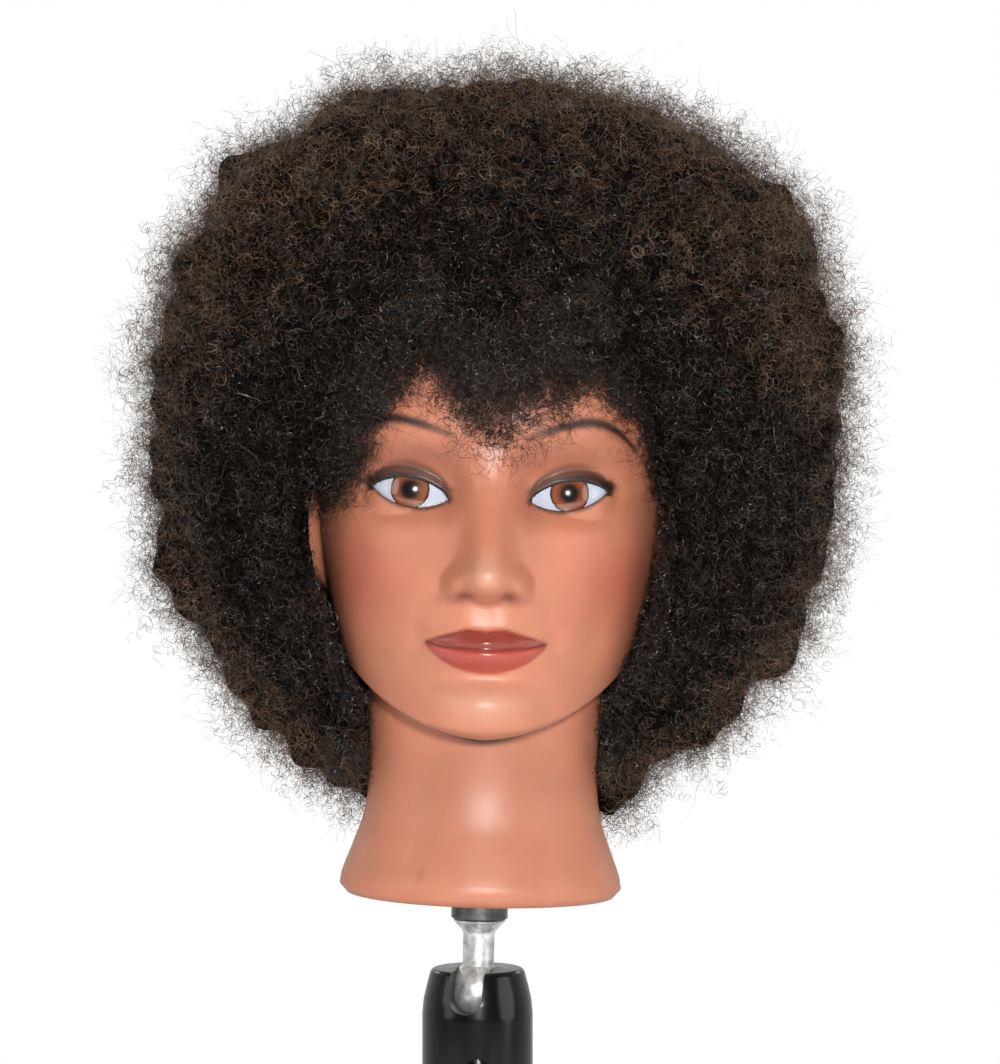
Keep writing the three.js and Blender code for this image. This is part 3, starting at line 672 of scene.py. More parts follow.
def eye_material():
    """White with a brown iris about the eye's own Z axis."""
    surface = Surface("eye", Roughness=0.12, Coat_Weight=1.0, Coat_Roughness=0.03, IOR=1.45)
    split = surface.add("ShaderNodeSeparateXYZ", {0: surface.position()}).outputs
    flat = surface.add("ShaderNodeCombineXYZ", {"X": split["X"], "Y": split["Y"]}).outputs[0]
    length = surface.add("ShaderNodeVectorMath", {0: flat}, operation="LENGTH").outputs["Value"]
    scaled = surface.add("ShaderNodeMath", {0: length, 1: 1 / (10 * MM)}, operation="MULTIPLY").outputs[0]
    wobble = surface.map_range(surface.noise(420, 2), -0.035, 0.035).outputs["Result"]
    distance = surface.add("ShaderNodeMath", {0: scaled, 1: wobble}, operation="ADD").outputs[0]
    black = srgb(16, 10, 9)
    dark = srgb(52, 30, 22)
    brown = srgb(112, 60, 38)
    light = srgb(142, 82, 56)
    white = srgb(200, 207, 220)
    colour = surface.ramp(
        distance, (0.0, black), (0.22, black), (0.32, dark), (0.42, brown),
        (0.60, light), (0.70, brown), (0.72, black), (0.745, black), (0.765, white), (1.0, white),
    )
    surface.feed(colour, "Base Color")
    return surface.owner


def liner_material():
    surface = Surface("eye_liner", Roughness=0.28, Coat_Weight=0.3)
    return surface.mottle((300,), srgb(24, 15, 13), srgb(52, 34, 28), end=0.8).owner


def chrome_material(name, shade, rough_low, rough_high, metallic=1.0):
    """Chrome with duller, darker patches where it is worn."""
    surface = Surface(name, Metallic=metallic)
    surface.mottle((240, 6, 0.6), [shade * 0.55] * 3, [shade] * 3, 0.38, 0.62)
    surface.roughen((220, 8, 0.7), rough_low, rough_high)
    return surface.grain((60, 3), 0.04, 0.0005).owner


def enamel_material():
    surface = Surface("black_enamel", Coat_Weight=0.15, Coat_Roughness=0.12, IOR=1.4)
    surface.mottle((80,), (0.0015, 0.0018, 0.0022), (0.004, 0.0045, 0.005), end=0.8)
    surface.roughen((120, 6), 0.12, 0.26)
    return surface.grain((1400, 2), 0.05, 0.0003).owner


def grained_material(name, low, high, rough, scale, metallic=0.0, grain=0.1):
    """A fine-grained finish: shades low to high, a roughness range and a scale for its grain."""
    surface = Surface(name, Metallic=metallic)
    surface.mottle((scale, 6), low, high)
    surface.roughen((scale * 2.3, 6), *rough)
    return surface.grain((scale * 6, 3), grain, 0.0003).owner


def hair_strand_material(name, colour, rough):
    return Surface(name, Base_Color=(*colour, 1), Roughness=rough, IOR=1.45).owner


# Near black: the hair's own dark colour, deepened as painted shade for the shadowed depths between the
# strands.
def hair_core_material():
    surface = Surface("hair_core", Roughness=0.9, IOR=1.1)
    surface.mottle((700, 8, 0.75), (0.0025, 0.0021, 0.0018), (0.022, 0.016, 0.012), 0.45, 0.66)
    return surface.grain((520, 8, 0.8), 1.0, 0.003).owner


# ------------------------------------------------------------------ head skin
VINYL = srgb(196, 124, 94)
LIP_RED, LIP_SHADOW, LIP_LINE_COLOUR = srgb(176, 72, 60), srgb(138, 50, 40), srgb(88, 34, 29)
PAINTED_JAW_SHADOW, BROW_COLOUR = srgb(50, 25, 20), srgb(40, 19, 15)
LID_COLOUR, LID_CREASE_COLOUR = srgb(66, 50, 45), srgb(58, 32, 25)
LASH_COLOUR, LOWER_LASH_COLOUR, LASH_TAIL_COLOUR = srgb(26, 17, 15), srgb(58, 46, 46), srgb(30, 19, 16)

# Soft patches of paint, alike on both sides: strength, form as in RISES, colour. Blush on the cheeks and a
# darker patch above the lid; painted shade beside the bridge; painted highlights, lighter skin, on the nose's
# tip and the chin's front.
BLUSH_PAINTED_SHADE_AND_HIGHLIGHTS = {
    "cheek": (0.50, (50, 128, 18, 17), srgb(172, 74, 60)),
    "above the lid": (0.40, (31, 175, 20, 8), srgb(120, 62, 48)),
    "beside the bridge": (0.38, (15, 160, 6, 15), srgb(132, 72, 54)),
    "painted highlight on the nose tip": (0.30, (0, 132, 6, 7), srgb(236, 196, 172)),
    "painted highlight on the chin": (0.30, (0, 83, 13, 8), srgb(236, 196, 172)),
}
NOSTRIL_SHADE = {
    "nostril": (0.80, (8.6, 122.6, 3.2, 1.7), srgb(92, 46, 34)),
    "below the wing": (0.35, (11.0, 121.0, 7.0, 2.0), srgb(130, 70, 54)),
}
# The same on one side only, as small marks on the neck.
BLEMISHES = {
    "low on the left": (0.50, (-23.5, 13.5, 1.9, 1.6), srgb(104, 50, 44)),
    "high on the right": (0.30, (42, 62, 1.7, 1.7), srgb(104, 50, 44)),
}
# distance from the middle, height, half thickness
EYEBROW = [
    (13.0, 183.0, 1.3), (20.0, 185.6, 1.7), (29.0, 188.4, 1.9), (38.0, 190.0, 2.1),
    (44.0, 189.2, 2.1), (50.5, 185.8, 1.8), (57.0, 179.6, 1.1),
]
LASH_LINE = (1.4, 3.4, 5.4)  # thickness at the inner corner, and at the left and right outer one


def painted(points):
    """Colour and gloss of each point of the skin: vinyl, blush, lips, brows and liner, with painted shade on
    the neck, beside the bridge, in the nostrils and under the jaw, and painted highlights on the nose's tip
    and the chin.
    """
    x, z = points[..., 0], points[..., 2]
    side = np.abs(x)
    front = points[..., 1] < -20
    colour = np.broadcast_to(VINYL, (*x.shape, 3)).copy()

    def lay(mask, tint):
        nonlocal colour
        mask = clamp01(mask * front)[..., None]
        colour = colour * (1 - mask) + tint * mask

    def lay_patches(table, across):
        for strength, form, tint in table.values():
            lay(strength * bump(across, z, *form), tint)

    above_jaw = z - jaw_edge(np.arctan2(x, -points[..., 1]))
    # Painted shade: the front of the neck below the jaw is darkened, as if less of the light reached it.
    painted_neck_shade = 0.20 * bump(x, z, 0, 50, 36, 26, 3) * (above_jaw < 0)
    colour *= (1 - painted_neck_shade)[..., None]
    # Blush, with painted shade beside the bridge and painted highlights on the nose's tip and the chin.
    lay_patches(BLUSH_PAINTED_SHADE_AND_HIGHLIGHTS, side)
    upper, line, lower = lip_curves(x)
    lips = smoothstep(z, lower - 0.5, lower + 0.5) * (1 - smoothstep(z, upper - 0.4, upper + 0.4))
    lips = lips * (side < LIP_HALF + 0.3)
    lay(0.97 * lips, mix(LIP_RED, LIP_SHADOW, clamp01((z - line + 1) / 3)[..., None]))
    lay(0.7 * lips * ridge_at(z, line, 0.6), LIP_LINE_COLOUR)
    lay_patches(NOSTRIL_SHADE, side)
    lay_patches(BLEMISHES, x)
    # Painted shadow: a thin dark line just under the jaw's edge, where the jaw's shadow falls on the neck.
    lay(0.92 * ridge_at(above_jaw, -0.2, 1.2), PAINTED_JAW_SHADOW)
    brow_side, brow_height, brow_width = zip(*EYEBROW)
    middle = smooth_table(side, brow_side, brow_height)
    width = np.interp(side, brow_side, brow_width)
    ends = smoothstep(side, 11, 16) * (1 - smoothstep(side, 55, 58))
    along = mix(0.55, 1.0, smoothstep(side, 12, 30)) * ends
    lay(0.97 * along * np.exp(-(np.abs((z - middle) / width) ** 3)), BROW_COLOUR)
    paint_lids(lay, x, z)
    return colour, lips * 0.9


def paint_lids(lay, x, z):
    """The shaded lid, its dark upper edge that thickens outwards, and the fine lower line."""
    side = np.abs(x)
    upper, lower = eye_curves(side)
    inner, outer = EYE_X - EYE_HALF, EYE_X + EYE_HALF
    over_eye = smoothstep(side, inner - 2.5, inner + 1) * (1 - smoothstep(side, outer + 1.0, outer + 3.5))
    above = z - upper
    lid = smoothstep(above, -1, 0.4) * (1 - smoothstep(above, 3.2, 5.4))
    lay(0.82 * lid * over_eye, LID_COLOUR)
    lay(0.5 * over_eye * ridge_at(z, upper + lid_crease(side), 1.1), LID_CREASE_COLOUR)
    at_inner, at_left, at_right = LASH_LINE
    thick = mix(at_inner, np.where(x > 0, at_right, at_left), clamp01((side - inner) / (2 * EYE_HALF)) ** 1.8)
    lash = (above > -2) * np.exp(-(clamp01(above / thick) ** 3) * 3.0) * (above < thick)
    lay(0.97 * over_eye * lash, LASH_COLOUR)
    lay(0.8 * over_eye * ridge_at(z, lower - 0.4, 0.8), LOWER_LASH_COLOUR)
    tail = bump(side, z, outer - 0.6, 166.0, 4.6, 1.9, 3) * np.where(x > 0, 0.95, 0.6)
    lay(tail * (above > -0.5), LASH_TAIL_COLOUR)


HEM = ((0.90, 8.0), (0.93, 3.0), (0.95, 0.6), (0.985, 0.0))  # share of the base's reach, height


def make_head():
    """The skin from the hem turned in under the neck up to the crown."""
    points = shaped_head()
    colour, gloss = painted(points)
    hem = [points[0] * [share, share, 1] + [0, 0, height] for share, height in HEM]
    rings = np.concatenate([np.stack(hem), points])
    crown_ring = (len(rings) - 1) * COLUMNS + np.arange(COLUMNS)
    faces = grid_faces(len(rings), COLUMNS)
    head = new_object("head_shell", to_row(rings.reshape(-1, 3)), faces, cap=crown_ring)
    plain = len(hem) * COLUMNS
    rgba = np.ones((len(head.data.vertices), 4), np.float32)
    rgba[:, :3] = np.concatenate([np.tile(VINYL, (plain, 1)), colour.reshape(-1, 3)])
    paint = head.data.attributes.new("paint", "FLOAT_COLOR", "POINT")
    paint.data.foreach_set("color", rgba.ravel())
    shine = head.data.attributes.new("gloss", "FLOAT", "POINT")
    shine.data.foreach_set("value", np.concatenate([np.zeros(plain), gloss.ravel()]).astype(np.float32))
    finish_piece(head, "head", "vinyl", vinyl_material(), "head_skin")


# ------------------------------------------------------------------ eyes
EYE_COLUMNS, EYE_ROWS = 64, 40
EYE_TUCK = 1.4  # that the eyeball goes on under the lids
EYE_THICKNESS = 3.0
CORNEA_RADIUS, CORNEA_RISE = 8.6, 0.7
LINER_STEPS, LINER_SIDES = 70, 10


def eye_surface():
    """(rows, columns) of distance from the middle, reach to the front and height."""
    u = np.linspace(-1.06, 1.06, EYE_COLUMNS)
    side = EYE_X + EYE_HALF * u
    upper, lower = eye_curves(side)
    half = (upper - lower) / 2 + EYE_TUCK
    z = (upper + lower) / 2 + half * np.linspace(-1, 1, EYE_ROWS)[:, None]
    side = np.broadcast_to(side[None], z.shape)
    away = np.hypot(side - IRIS_X, z - IRIS_Z)
    turned_iris = IRIS_TURN * (side - IRIS_X) * (1 - smoothstep(away, 3.0, 11.0))
    cornea = CORNEA_RISE * np.sqrt(clamp01(1 - (away / CORNEA_RADIUS) ** 2))
    return side, eye_dome(side, z) + turned_iris + cornea, z


def make_eye(sign, node):
    """The part of an eyeball that shows between the lids, with its rim tucked under them."""
    side, front, z = eye_surface()
    points = np.stack([side * sign, -front, z], axis=-1).reshape(-1, 3)
    back = points + [0, EYE_THICKNESS, 0]
    count = len(points)
    last_row = EYE_COLUMNS * (EYE_ROWS - 1)
    rim = np.concatenate([
        np.arange(EYE_COLUMNS), np.arange(1, EYE_ROWS) * EYE_COLUMNS + EYE_COLUMNS - 1,
        np.arange(count - 2, last_row - 1, -1), np.arange(EYE_ROWS - 2, 0, -1) * EYE_COLUMNS,
    ])
    following = np.roll(rim, -1)
    faces = grid_faces(EYE_ROWS, EYE_COLUMNS, closed=False)
    wall = np.stack([rim, rim + count, following + count, following], axis=-1)
    if sign < 0:
        faces, wall = faces[:, ::-1], wall[:, ::-1]
    origin = Vector((sign * IRIS_X, -float(eye_dome(IRIS_X, IRIS_Z)), IRIS_Z)) * MM
    local = Matrix.Translation(origin) @ Matrix.Rotation(math.radians(90), 4, "X")
    inverse = np.array(local.inverted())
    own = np.concatenate([points, back]) * MM @ inverse[:3, :3].T + inverse[:3, 3]
    eye = new_object(node + "_ball", own, np.concatenate([faces, faces[:, ::-1] + count, wall]))
    eye.matrix_world = head_matrix() @ local
    finish_piece(eye, "head", "eye", eye_material(), node)


def make_liner(sign, name, which, thickness, lift):
    """A fine raised line along the edge of the upper (0) or lower (1) lid."""
    u = np.linspace(-1.0, 1.0, LINER_STEPS)
    side = EYE_X + EYE_HALF * u
    z = eye_curves(side)[which] + lift
    centre = np.stack([side * sign, -(eye_dome(side, z) + 0.55), z], axis=-1)
    angle = 2 * np.pi * np.arange(LINER_SIDES) / LINER_SIDES
    ring = np.stack([0 * angle, 0.9 * np.cos(angle), np.sin(angle)], axis=-1)
    taper = thickness * (0.1 + 0.9 * np.sqrt(clamp01(1 - u**4)))
    points = centre[:, None] + taper[:, None, None] * ring[None]
    faces = grid_faces(LINER_STEPS, LINER_SIDES)
    if sign > 0:
        faces = faces[:, ::-1]
    liner = new_object(name, to_row(points.reshape(-1, 3)), faces)
    finish_piece(liner, "head", "vinyl", liner_material())


# ------------------------------------------------------------------ hair
HAIR_CENTRE = np.array([2.0, 6.0, 186.0])
HAIR_RADIUS = 150.0
CORE_SHARE = 0.902  # of the hair's reach that its dense core takes
LOW_CORE_SHARE = 0.935  # the same below the jaw, where the hair hangs closer
CORE_WIDEN = 1.018  # of the core from side to side
CORE_VOXEL = 4.5 * MM
CORE_LUMPS = ((44, 3, 5.2), (18, 4, 3.0))  # scale, seed and height of the lumps
CORE_RADIUS = HAIR_RADIUS * CORE_SHARE
BRIM_LIFT = 13  # of the core over the forehead
FRIZZ_REACH = 16.5  # of the longest strands beyond the core
# how low the curls come over the forehead: place across, height
HAIRLINE = {
    "left sideburn": (-68, 158),
    "left temple": (-52, 172),
    "over the left brow": (-39, 196),
    "left parting": (-27, 208),
    "left of the forelock": (-17, 197),
    "forelock": (-9, 187.5),
    "forelock's other edge": (10, 187.5),
    "right of the forelock": (18, 194),
    "over the right brow": (28, 197),
    "right parting": (37, 205),
    "end of the right brow": (48, 199),
    "right temple": (60, 187),
    "right sideburn": (68, 160),
}
NECK_HALF, NECK_HAIR_TOP = 48.5, 84  # half width between the hair's edges below this height
STRAY_SHARE, STRAY_MARGIN = 0.029, 9 * MM  # of a side and beyond it, that strands may stray
EAR_GAP = 5.0  # that the curls leave before the left ear

Kind = namedtuple("Kind", "batches count thinned length curl pitch steps width brown over_face off_skin")
KINDS = {
    "undercoat": Kind(7, 4600, True, (5, 10), (0.8, 2.0), (2.6, 5.0), 18, 0.26, 0.5, 3.0, None),
    "coils": Kind(7, 5300, True, (4, 9), (0.9, 2.6), (2.6, 5.5), 18, 0.22, 1.0, 3.0, None),
    "frizz": Kind(3, 3150, True, None, (1.2, 2.8), (4.5, 8.5), 32, 0.24, 1.0, 3.0, None),
    "flyaway": Kind(1, 2400, True, (8, 20), (2.4, 4.4), (8, 15), 34, 0.16, 1.0, 0.0, None),
    "fringe": Kind(2, 5600, False, (5, 10), (1.0, 2.4), (3.2, 6.0), 17, 0.27, 0.3, None, 0.5),
    "side_curls": Kind(1, 5800, False, (5, 12), (0.9, 2.1), (3.0, 5.6), 16, 0.30, 0.3, 5.0, None),
    "wisps": Kind(1, 900, False, (6, 13), (1.2, 2.8), (6, 12), 22, 0.15, 0.3, None, 0.4),
}
# colour and roughness of the strands, from the darkest
TONES = {
    "hair_black": ((0.009, 0.0084, 0.0080), 0.33),
    "hair_dark_brown": ((0.030, 0.0200, 0.0140), 0.40),
    "hair_brown": ((0.090, 0.045, 0.022), 0.5),
    "hair_light_brown": ((0.170, 0.098, 0.055), 0.5),
}
TONE_STEPS = [0.44, 0.76, 1.24]
QUICK_SHARE = 0.4


def value_noise(points, scale, seed):
    """Smooth noise from about -1 to 1 made of a few crossed waves."""
    local = np.random.default_rng(seed)
    total = np.zeros(len(points))
    for _ in range(6):
        direction = local.normal(size=3)
        direction /= np.linalg.norm(direction)
        phase = local.uniform(0, 2 * np.pi)
        total += np.sin(points @ direction * 2 * np.pi / scale + phase)
    return total / 6 * 1.6


def hairline(x):
    """Height of the hair's lower edge over the forehead."""
    places, heights = zip(*HAIRLINE.values())
    return smooth_table(np.clip(x, places[0], places[-1]), places, heights)


def bare_half(x, z):
    """Half the width of the face and neck between the hair's edges."""
    face = along_sections(FACE_SECTIONS, np.clip(z, NECK_HAIR_TOP, DOME_FOOT))[0]
    half = np.where(z < NECK_HAIR_TOP, NECK_HALF, face)
    return half + EAR_GAP * bump(0, z, 0, 146, 1, 24, 3) * (x < 0)


def bare_face(points, margin):
    """Whether each point lies in front of the skin that the hair leaves bare."""
    x, y, z = np.moveaxis(points, -1, 0)
    half = bare_half(x, z) * (1 - np.minimum(y + 20, 0) / 1300)
    return (np.abs(x) < half - margin) & (z < hairline(x) - margin) & (y < -15)


def remeshed_hair():
    """The CAD hair, remeshed evenly and smoothed, as a new piece."""
    core = bpy.data.objects.new("hair_core", frame["nodes"]["hair"].data.copy())
    bpy.context.scene.collection.objects.link(core)
    remesh = core.modifiers.new("remesh", "REMESH")
    remesh.mode = "VOXEL"
    remesh.voxel_size = CORE_VOXEL
    smooth = core.modifiers.new("smooth", "SMOOTH")
    smooth.factor = 0.8
    smooth.iterations = 8
    shaped = evaluated_mesh(core)
    core.modifiers.clear()
    core.data = shaped
    return core


def make_hair_core():
    """The dense inner mass of the hair: the CAD form, remeshed, thinned and made lumpy."""
    core = remeshed_hair()
    normal = np.zeros(len(core.data.vertices) * 3, np.float32)
    core.data.vertices.foreach_get("normal", normal)
    normal = normal.reshape(-1, 3)
    points = row_to_head(mesh_points(core))
    spread = points - HAIR_CENTRE * [0, 1, 1]
    outwards = (normal * unit(spread)).sum(axis=1)
    outer = smoothstep(np.linalg.norm(spread, axis=1), 95, 140) * smoothstep(outwards, -0.2, 0.4)
    lumps = sum(value_noise(points, scale, seed) * height for scale, seed, height in CORE_LUMPS)
    kept = mix(LOW_CORE_SHARE, CORE_SHARE, smoothstep(points[:, 2], 70, 170))
    share = mix(1.0, kept, outer) + lumps * outer / HAIR_RADIUS
    wall = smoothstep(-points[:, 1], 5, 30) * (1 - smoothstep(points[:, 2], 212, 232))
    wall = wall * smoothstep(-outwards, -0.2, 0.3)
    inset = 5.0 + 1.6 * value_noise(points, 17, 5) + 7.0 * smoothstep(points[:, 2], 178, 198)
    points = points + spread * (share - 1)[:, None] - normal * (wall * inset)[:, None]
    points[:, 0] = mix(points[:, 0], points[:, 0] * CORE_WIDEN + HAIR_CENTRE[0], outer)
    brim = smoothstep(-points[:, 1], 45, 75) * (1 - smoothstep(np.abs(points[:, 0]), 62, 84))
    brim = brim * smoothstep(points[:, 2], 176, 190) * (1 - smoothstep(points[:, 2], 216, 250))
    points[:, 2] += BRIM_LIFT * brim
    core.data.vertices.foreach_set("co", to_row(points).astype(np.float32).ravel())
    core.data.polygons.foreach_set("use_smooth", np.ones(len(core.data.polygons), bool))
    core.data.update()
    return finish_piece(core, "head", "hair", hair_core_material(), "hair")


def sample_surface(piece, count, keep):
    """Points and normals spread evenly over a mesh, in the head's frame, where keep says so."""
    a, b, c = mesh_triangles(piece, row_to_head(mesh_points(piece)))
    cross = np.cross(b - a, c - a)
    area = np.linalg.norm(cross, axis=1)
    normal = cross / np.maximum(area, 1e-9)[:, None]
    chance = area * keep((a + b + c) / 3, normal)
    picked = rng.choice(len(area), count, p=chance / chance.sum())
    u, v = rng.random((2, count, 1))
    flip = u + v > 1
    u, v = np.where(flip, 1 - u, u), np.where(flip, 1 - v, v)
    root = a[picked] + u * (b - a)[picked] + v * (c - a)[picked]
    return root, normal[picked]


def off_the_scalp(points, normal):
    """1 where the core's surface shows, 0 where it faces the head."""
    inner = points + normal * 7
    phi = np.arctan2(inner[:, 0], -inner[:, 1])
    skull = head_radius(phi, np.clip(inner[:, 2], 1, SKULL_TOP - 1))
    faces_head = (np.hypot(inner[:, 0], inner[:, 1]) < skull) & (inner[:, 2] < SKULL_TOP)
    return 1.0 - faces_head


def faces_out(points, normal):
    return off_the_scalp(points, normal) * ((normal * unit(points - HAIR_CENTRE)).sum(axis=1) > 0.25)


def strands(root, direction, length, curl, pitch, steps):
    """Curly centrelines: (strands, steps, 3) points in millimetres."""
    count = len(root)
    helper = unit(rng.normal(size=(count, 3)))
    side = unit(np.cross(direction, helper))
    other = np.cross(direction, side)
    s = np.linspace(0, 1, steps)[None]
    travel = s * length[:, None]
    phase = rng.uniform(0, 2 * np.pi, (count, 1))
    sense = rng.choice([-1.0, 1.0], (count, 1))
    turns = phase + sense * 2 * np.pi * travel / pitch[:, None] * (1 + 0.25 * np.sin(3 * s + phase))
    grow = curl[:, None] * (0.45 + 0.55 * np.sin(np.pi * (0.2 + 0.7 * s)))
    bend = rng.normal(size=(count, 2)) * 0.45
    a = grow * np.cos(turns) + bend[:, :1] * travel * s
    b = grow * np.sin(turns) + bend[:, 1:] * travel * s
    return (
        root[:, None] + direction[:, None] * travel[..., None]
        + side[:, None] * a[..., None] + other[:, None] * b[..., None]
    )


def within_reach(lines):
    """Which strands stay within the little that hair may stand out of the CAD model's box."""
    low, high = np.array(cad_box)
    spare = STRAY_SHARE * (high - low) + STRAY_MARGIN
    rows = to_row(lines.reshape(-1, 3)).reshape(lines.shape)
    return ((rows > low - spare) & (rows < high + spare)).all(axis=(1, 2))


def ribbons(name, lines, width, tones, tone):
    """Thin flat strips along the centrelines, each tapering to its tip, in a tone per span."""
    kept = within_reach(lines)
    lines, tone = lines[kept], tone[kept]
    count, steps, _ = lines.shape
    tangent = unit(np.gradient(lines, axis=1))
    across = unit(np.cross(tangent, unit(rng.normal(size=(count, 1, 3)))))
    half = across * (width / 2) * np.linspace(1.0, 0.35, steps)[None, :, None]
    points = np.stack([lines - half, lines + half], axis=2)
    first = np.arange(count)[:, None] * steps * 2 + np.arange(steps - 1)[None] * 2
    faces = np.stack([first, first + 1, first + 3, first + 2], axis=-1).reshape(-1, 4)
    piece = new_object(name, to_row(points.reshape(-1, 3)), faces)
    for each in tones:
        piece.data.materials.append(each)
    piece.data.polygons.foreach_set("material_index", tone.ravel().astype(np.int32))
    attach(piece, "head")


def tones_along(lines, brownness):
    """A tone for each span: mostly black inside, and painted browner towards the outline to stand for light
    coming through where the hair is thin.
    """
    count = len(lines)
    out = np.linalg.norm(lines[:, 1:] - HAIR_CENTRE, axis=2)
    # Painted light: the spans near and beyond the core's outline lean to the brown tones.
    brown = smoothstep(out, CORE_RADIUS - 6, CORE_RADIUS + 14) * brownness
    return np.digitize(rng.random((count, 1)) * 0.80 + brown * 0.62, TONE_STEPS)


def wandering(root, normal, radial_share, wander):
    radial = unit(root - HAIR_CENTRE)
    return unit(radial * radial_share + normal * (1 - radial_share) + rng.normal(size=root.shape) * wander)


def tufted(root, longest, power, scales, heights):
    """How far beyond the core the strands reach, in uneven tufts."""
    size = np.linalg.norm(root - HAIR_CENTRE, axis=1) / CORE_RADIUS
    tufts = 1 + heights[0] * value_noise(root, scales[0], 6) + heights[1] * value_noise(root, scales[1], 8)
    return longest * rng.random(len(root)) ** power * tufts * np.clip(size, 0.7, 1.0)


# Each of the next functions gives the roots, directions and, where the kind has no range of
# lengths, the lengths of its strands.
def undercoat_roots(core, count):
    """Tight dark curls lying on the core, and on its walls beside the face."""
    root, normal = sample_surface(core, count, off_the_scalp)
    return root - normal * 1.5, wandering(root, normal, 0.2, 0.75), None


def coils_roots(core, count):
    """Short tight coils that lie every way, fewer and fewer towards the hair's outline."""
    root, normal = sample_surface(core, count, faces_out)
    beyond = tufted(root, FRIZZ_REACH - 2, 1.7, (30, 12), (0.34, 0.24))
    outwards = unit(root - HAIR_CENTRE) * 0.6 + normal * 0.4
    direction = unit(rng.normal(size=(count, 3)) + outwards * 0.15)
    return root + outwards * beyond[:, None], direction, None


def frizz_roots(core, count):
    """Longer curls that thin out towards the hair's outline in uneven tufts."""
    root, normal = sample_surface(core, count, faces_out)
    direction = wandering(root, normal, 0.6, 0.62)
    beyond = tufted(root, FRIZZ_REACH, 1.15, (34, 13), (0.30, 0.20))
    return root - normal * 2.0, direction, 6.0 + beyond


def flyaway_roots(core, count):
    """Single open loops that stand clear of the rest."""
    root, normal = sample_surface(core, count, faces_out)
    return root + normal * 6, wandering(root, normal, 0.6, 0.7), None


def fringe_roots(core, count):
    """Small tight curls over the forehead, thinning out below the hairline."""
    x = rng.uniform(-70, 70, 4 * count)
    above = rng.uniform(-10, 32, 4 * count)
    full_at = mix(13, 6, smoothstep(np.abs(x), 16, 30))
    kept = rng.random(4 * count) < smoothstep(above, -10, full_at) ** 1.4
    x, above = x[kept][:count], above[kept][:count]
    z = hairline(x) + above
    count = len(x)
    lift = rng.uniform(0.8, 3.0, count) + 27 * rng.random(count) * smoothstep(above, -3, 14)
    root = np.stack([x, -face_front(x, z) - lift, z + 0.35 * lift], axis=-1)
    return root, unit(rng.normal(size=(count, 3)) * 0.75 + [0, -0.25, -0.45]), None


def side_curls_roots(core, count):
    """Tight curls along the hair's edges beside the face and neck, some lying over the skin."""
    z = rng.uniform(46, 190, count)
    sign = rng.choice([-1.0, 1.0], count)
    offset = rng.uniform(-3, 14, count)
    set_back = 26 * (1 - smoothstep(z, 76, 106))
    y = -rng.uniform(24, 62, count) + np.maximum(offset, 0) * 0.5 + set_back
    root = np.stack([sign * (bare_half(sign, z) + offset), y, z], axis=-1)
    leaning = np.stack([sign * 0.1, np.full(count, -0.5), np.full(count, -0.3)], axis=-1)
    return root, unit(rng.normal(size=(count, 3)) * 0.8 + leaning), None


def wisps_roots(core, count):
    """A few fine single hairs lying on the forehead and temples."""
    x = rng.uniform(-64, 64, count)
    z = hairline(x) - rng.uniform(-4, 12, count)
    root = np.stack([x, -face_front(x, z) - rng.uniform(0.4, 1.4, count), z], axis=-1)
    return root, unit(rng.normal(size=(count, 3)) * [0.8, 0.1, 0.5] + [0, 0, -0.6]), None


ROOTS = {
    "undercoat": undercoat_roots, "coils": coils_roots, "frizz": frizz_roots, "flyaway": flyaway_roots,
    "fringe": fringe_roots, "side_curls": side_curls_roots, "wisps": wisps_roots,
}


def make_strands(name, kind, roots, core, tones):
    """One piece: a batch of one kind of strand."""
    share = QUICK_SHARE if kind.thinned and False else 1.0
    root, direction, length = roots(core, int(kind.count * share))
    count = len(root)
    if kind.length:
        length = rng.uniform(*kind.length, count)
    curl = rng.uniform(*kind.curl, count)
    pitch = rng.uniform(*kind.pitch, count)
    lines = strands(root, direction, length, curl, pitch, kind.steps)
    if kind.off_skin is None:
        lines = lines[~bare_face(lines, kind.over_face).any(axis=1)]
    else:
        skin = face_front(lines[..., 0], lines[..., 2])
        lines[..., 1] = np.minimum(lines[..., 1], -skin - kind.off_skin)
    ribbons(name, lines, kind.width, tones, tones_along(lines, kind.brown))


def make_hair():
    core = make_hair_core()
    tones = [hair_strand_material(name, *look) for name, look in TONES.items()]
    for name, kind in KINDS.items():
        for batch in range(1, kind.batches + 1):
            suffix = f"_{batch}" if kind.batches > 1 else ""
            make_strands(f"hair_{name}{suffix}", kind, ROOTS[name], core, tones)


# ------------------------------------------------------------------ holder
STEM_BOTTOM, STEM_TOP = 15, 24.2  # of the straight part of the stem
SPIGOT_RADIUS, SPIGOT_LENGTH = 5.0, 16  # that goes up into the peg
SPIGOT_GAP = 0.3
SEAT_GAP = 0.3  # round the ball
SOCKET_TOP = 9.3  # above the ball's centre
SOCKET_BORE = 13.4
SOCKET_FLOOR = 8  # thickness
BOLT_HOLE = 5.3
SHAFT_HOLE, SHAFT_DROP = 4.9, 34  # radius, and below the ball's centre
# (radius, height) of the socket's outside above its straight part
SOCKET_SHOULDER = [
    (SOCKET_RADIUS, -9), (22.0, -3), (20.6, 3.0), (19.2, 8.2), (18.0, SOCKET_TOP), (11.4, SOCKET_TOP),
]


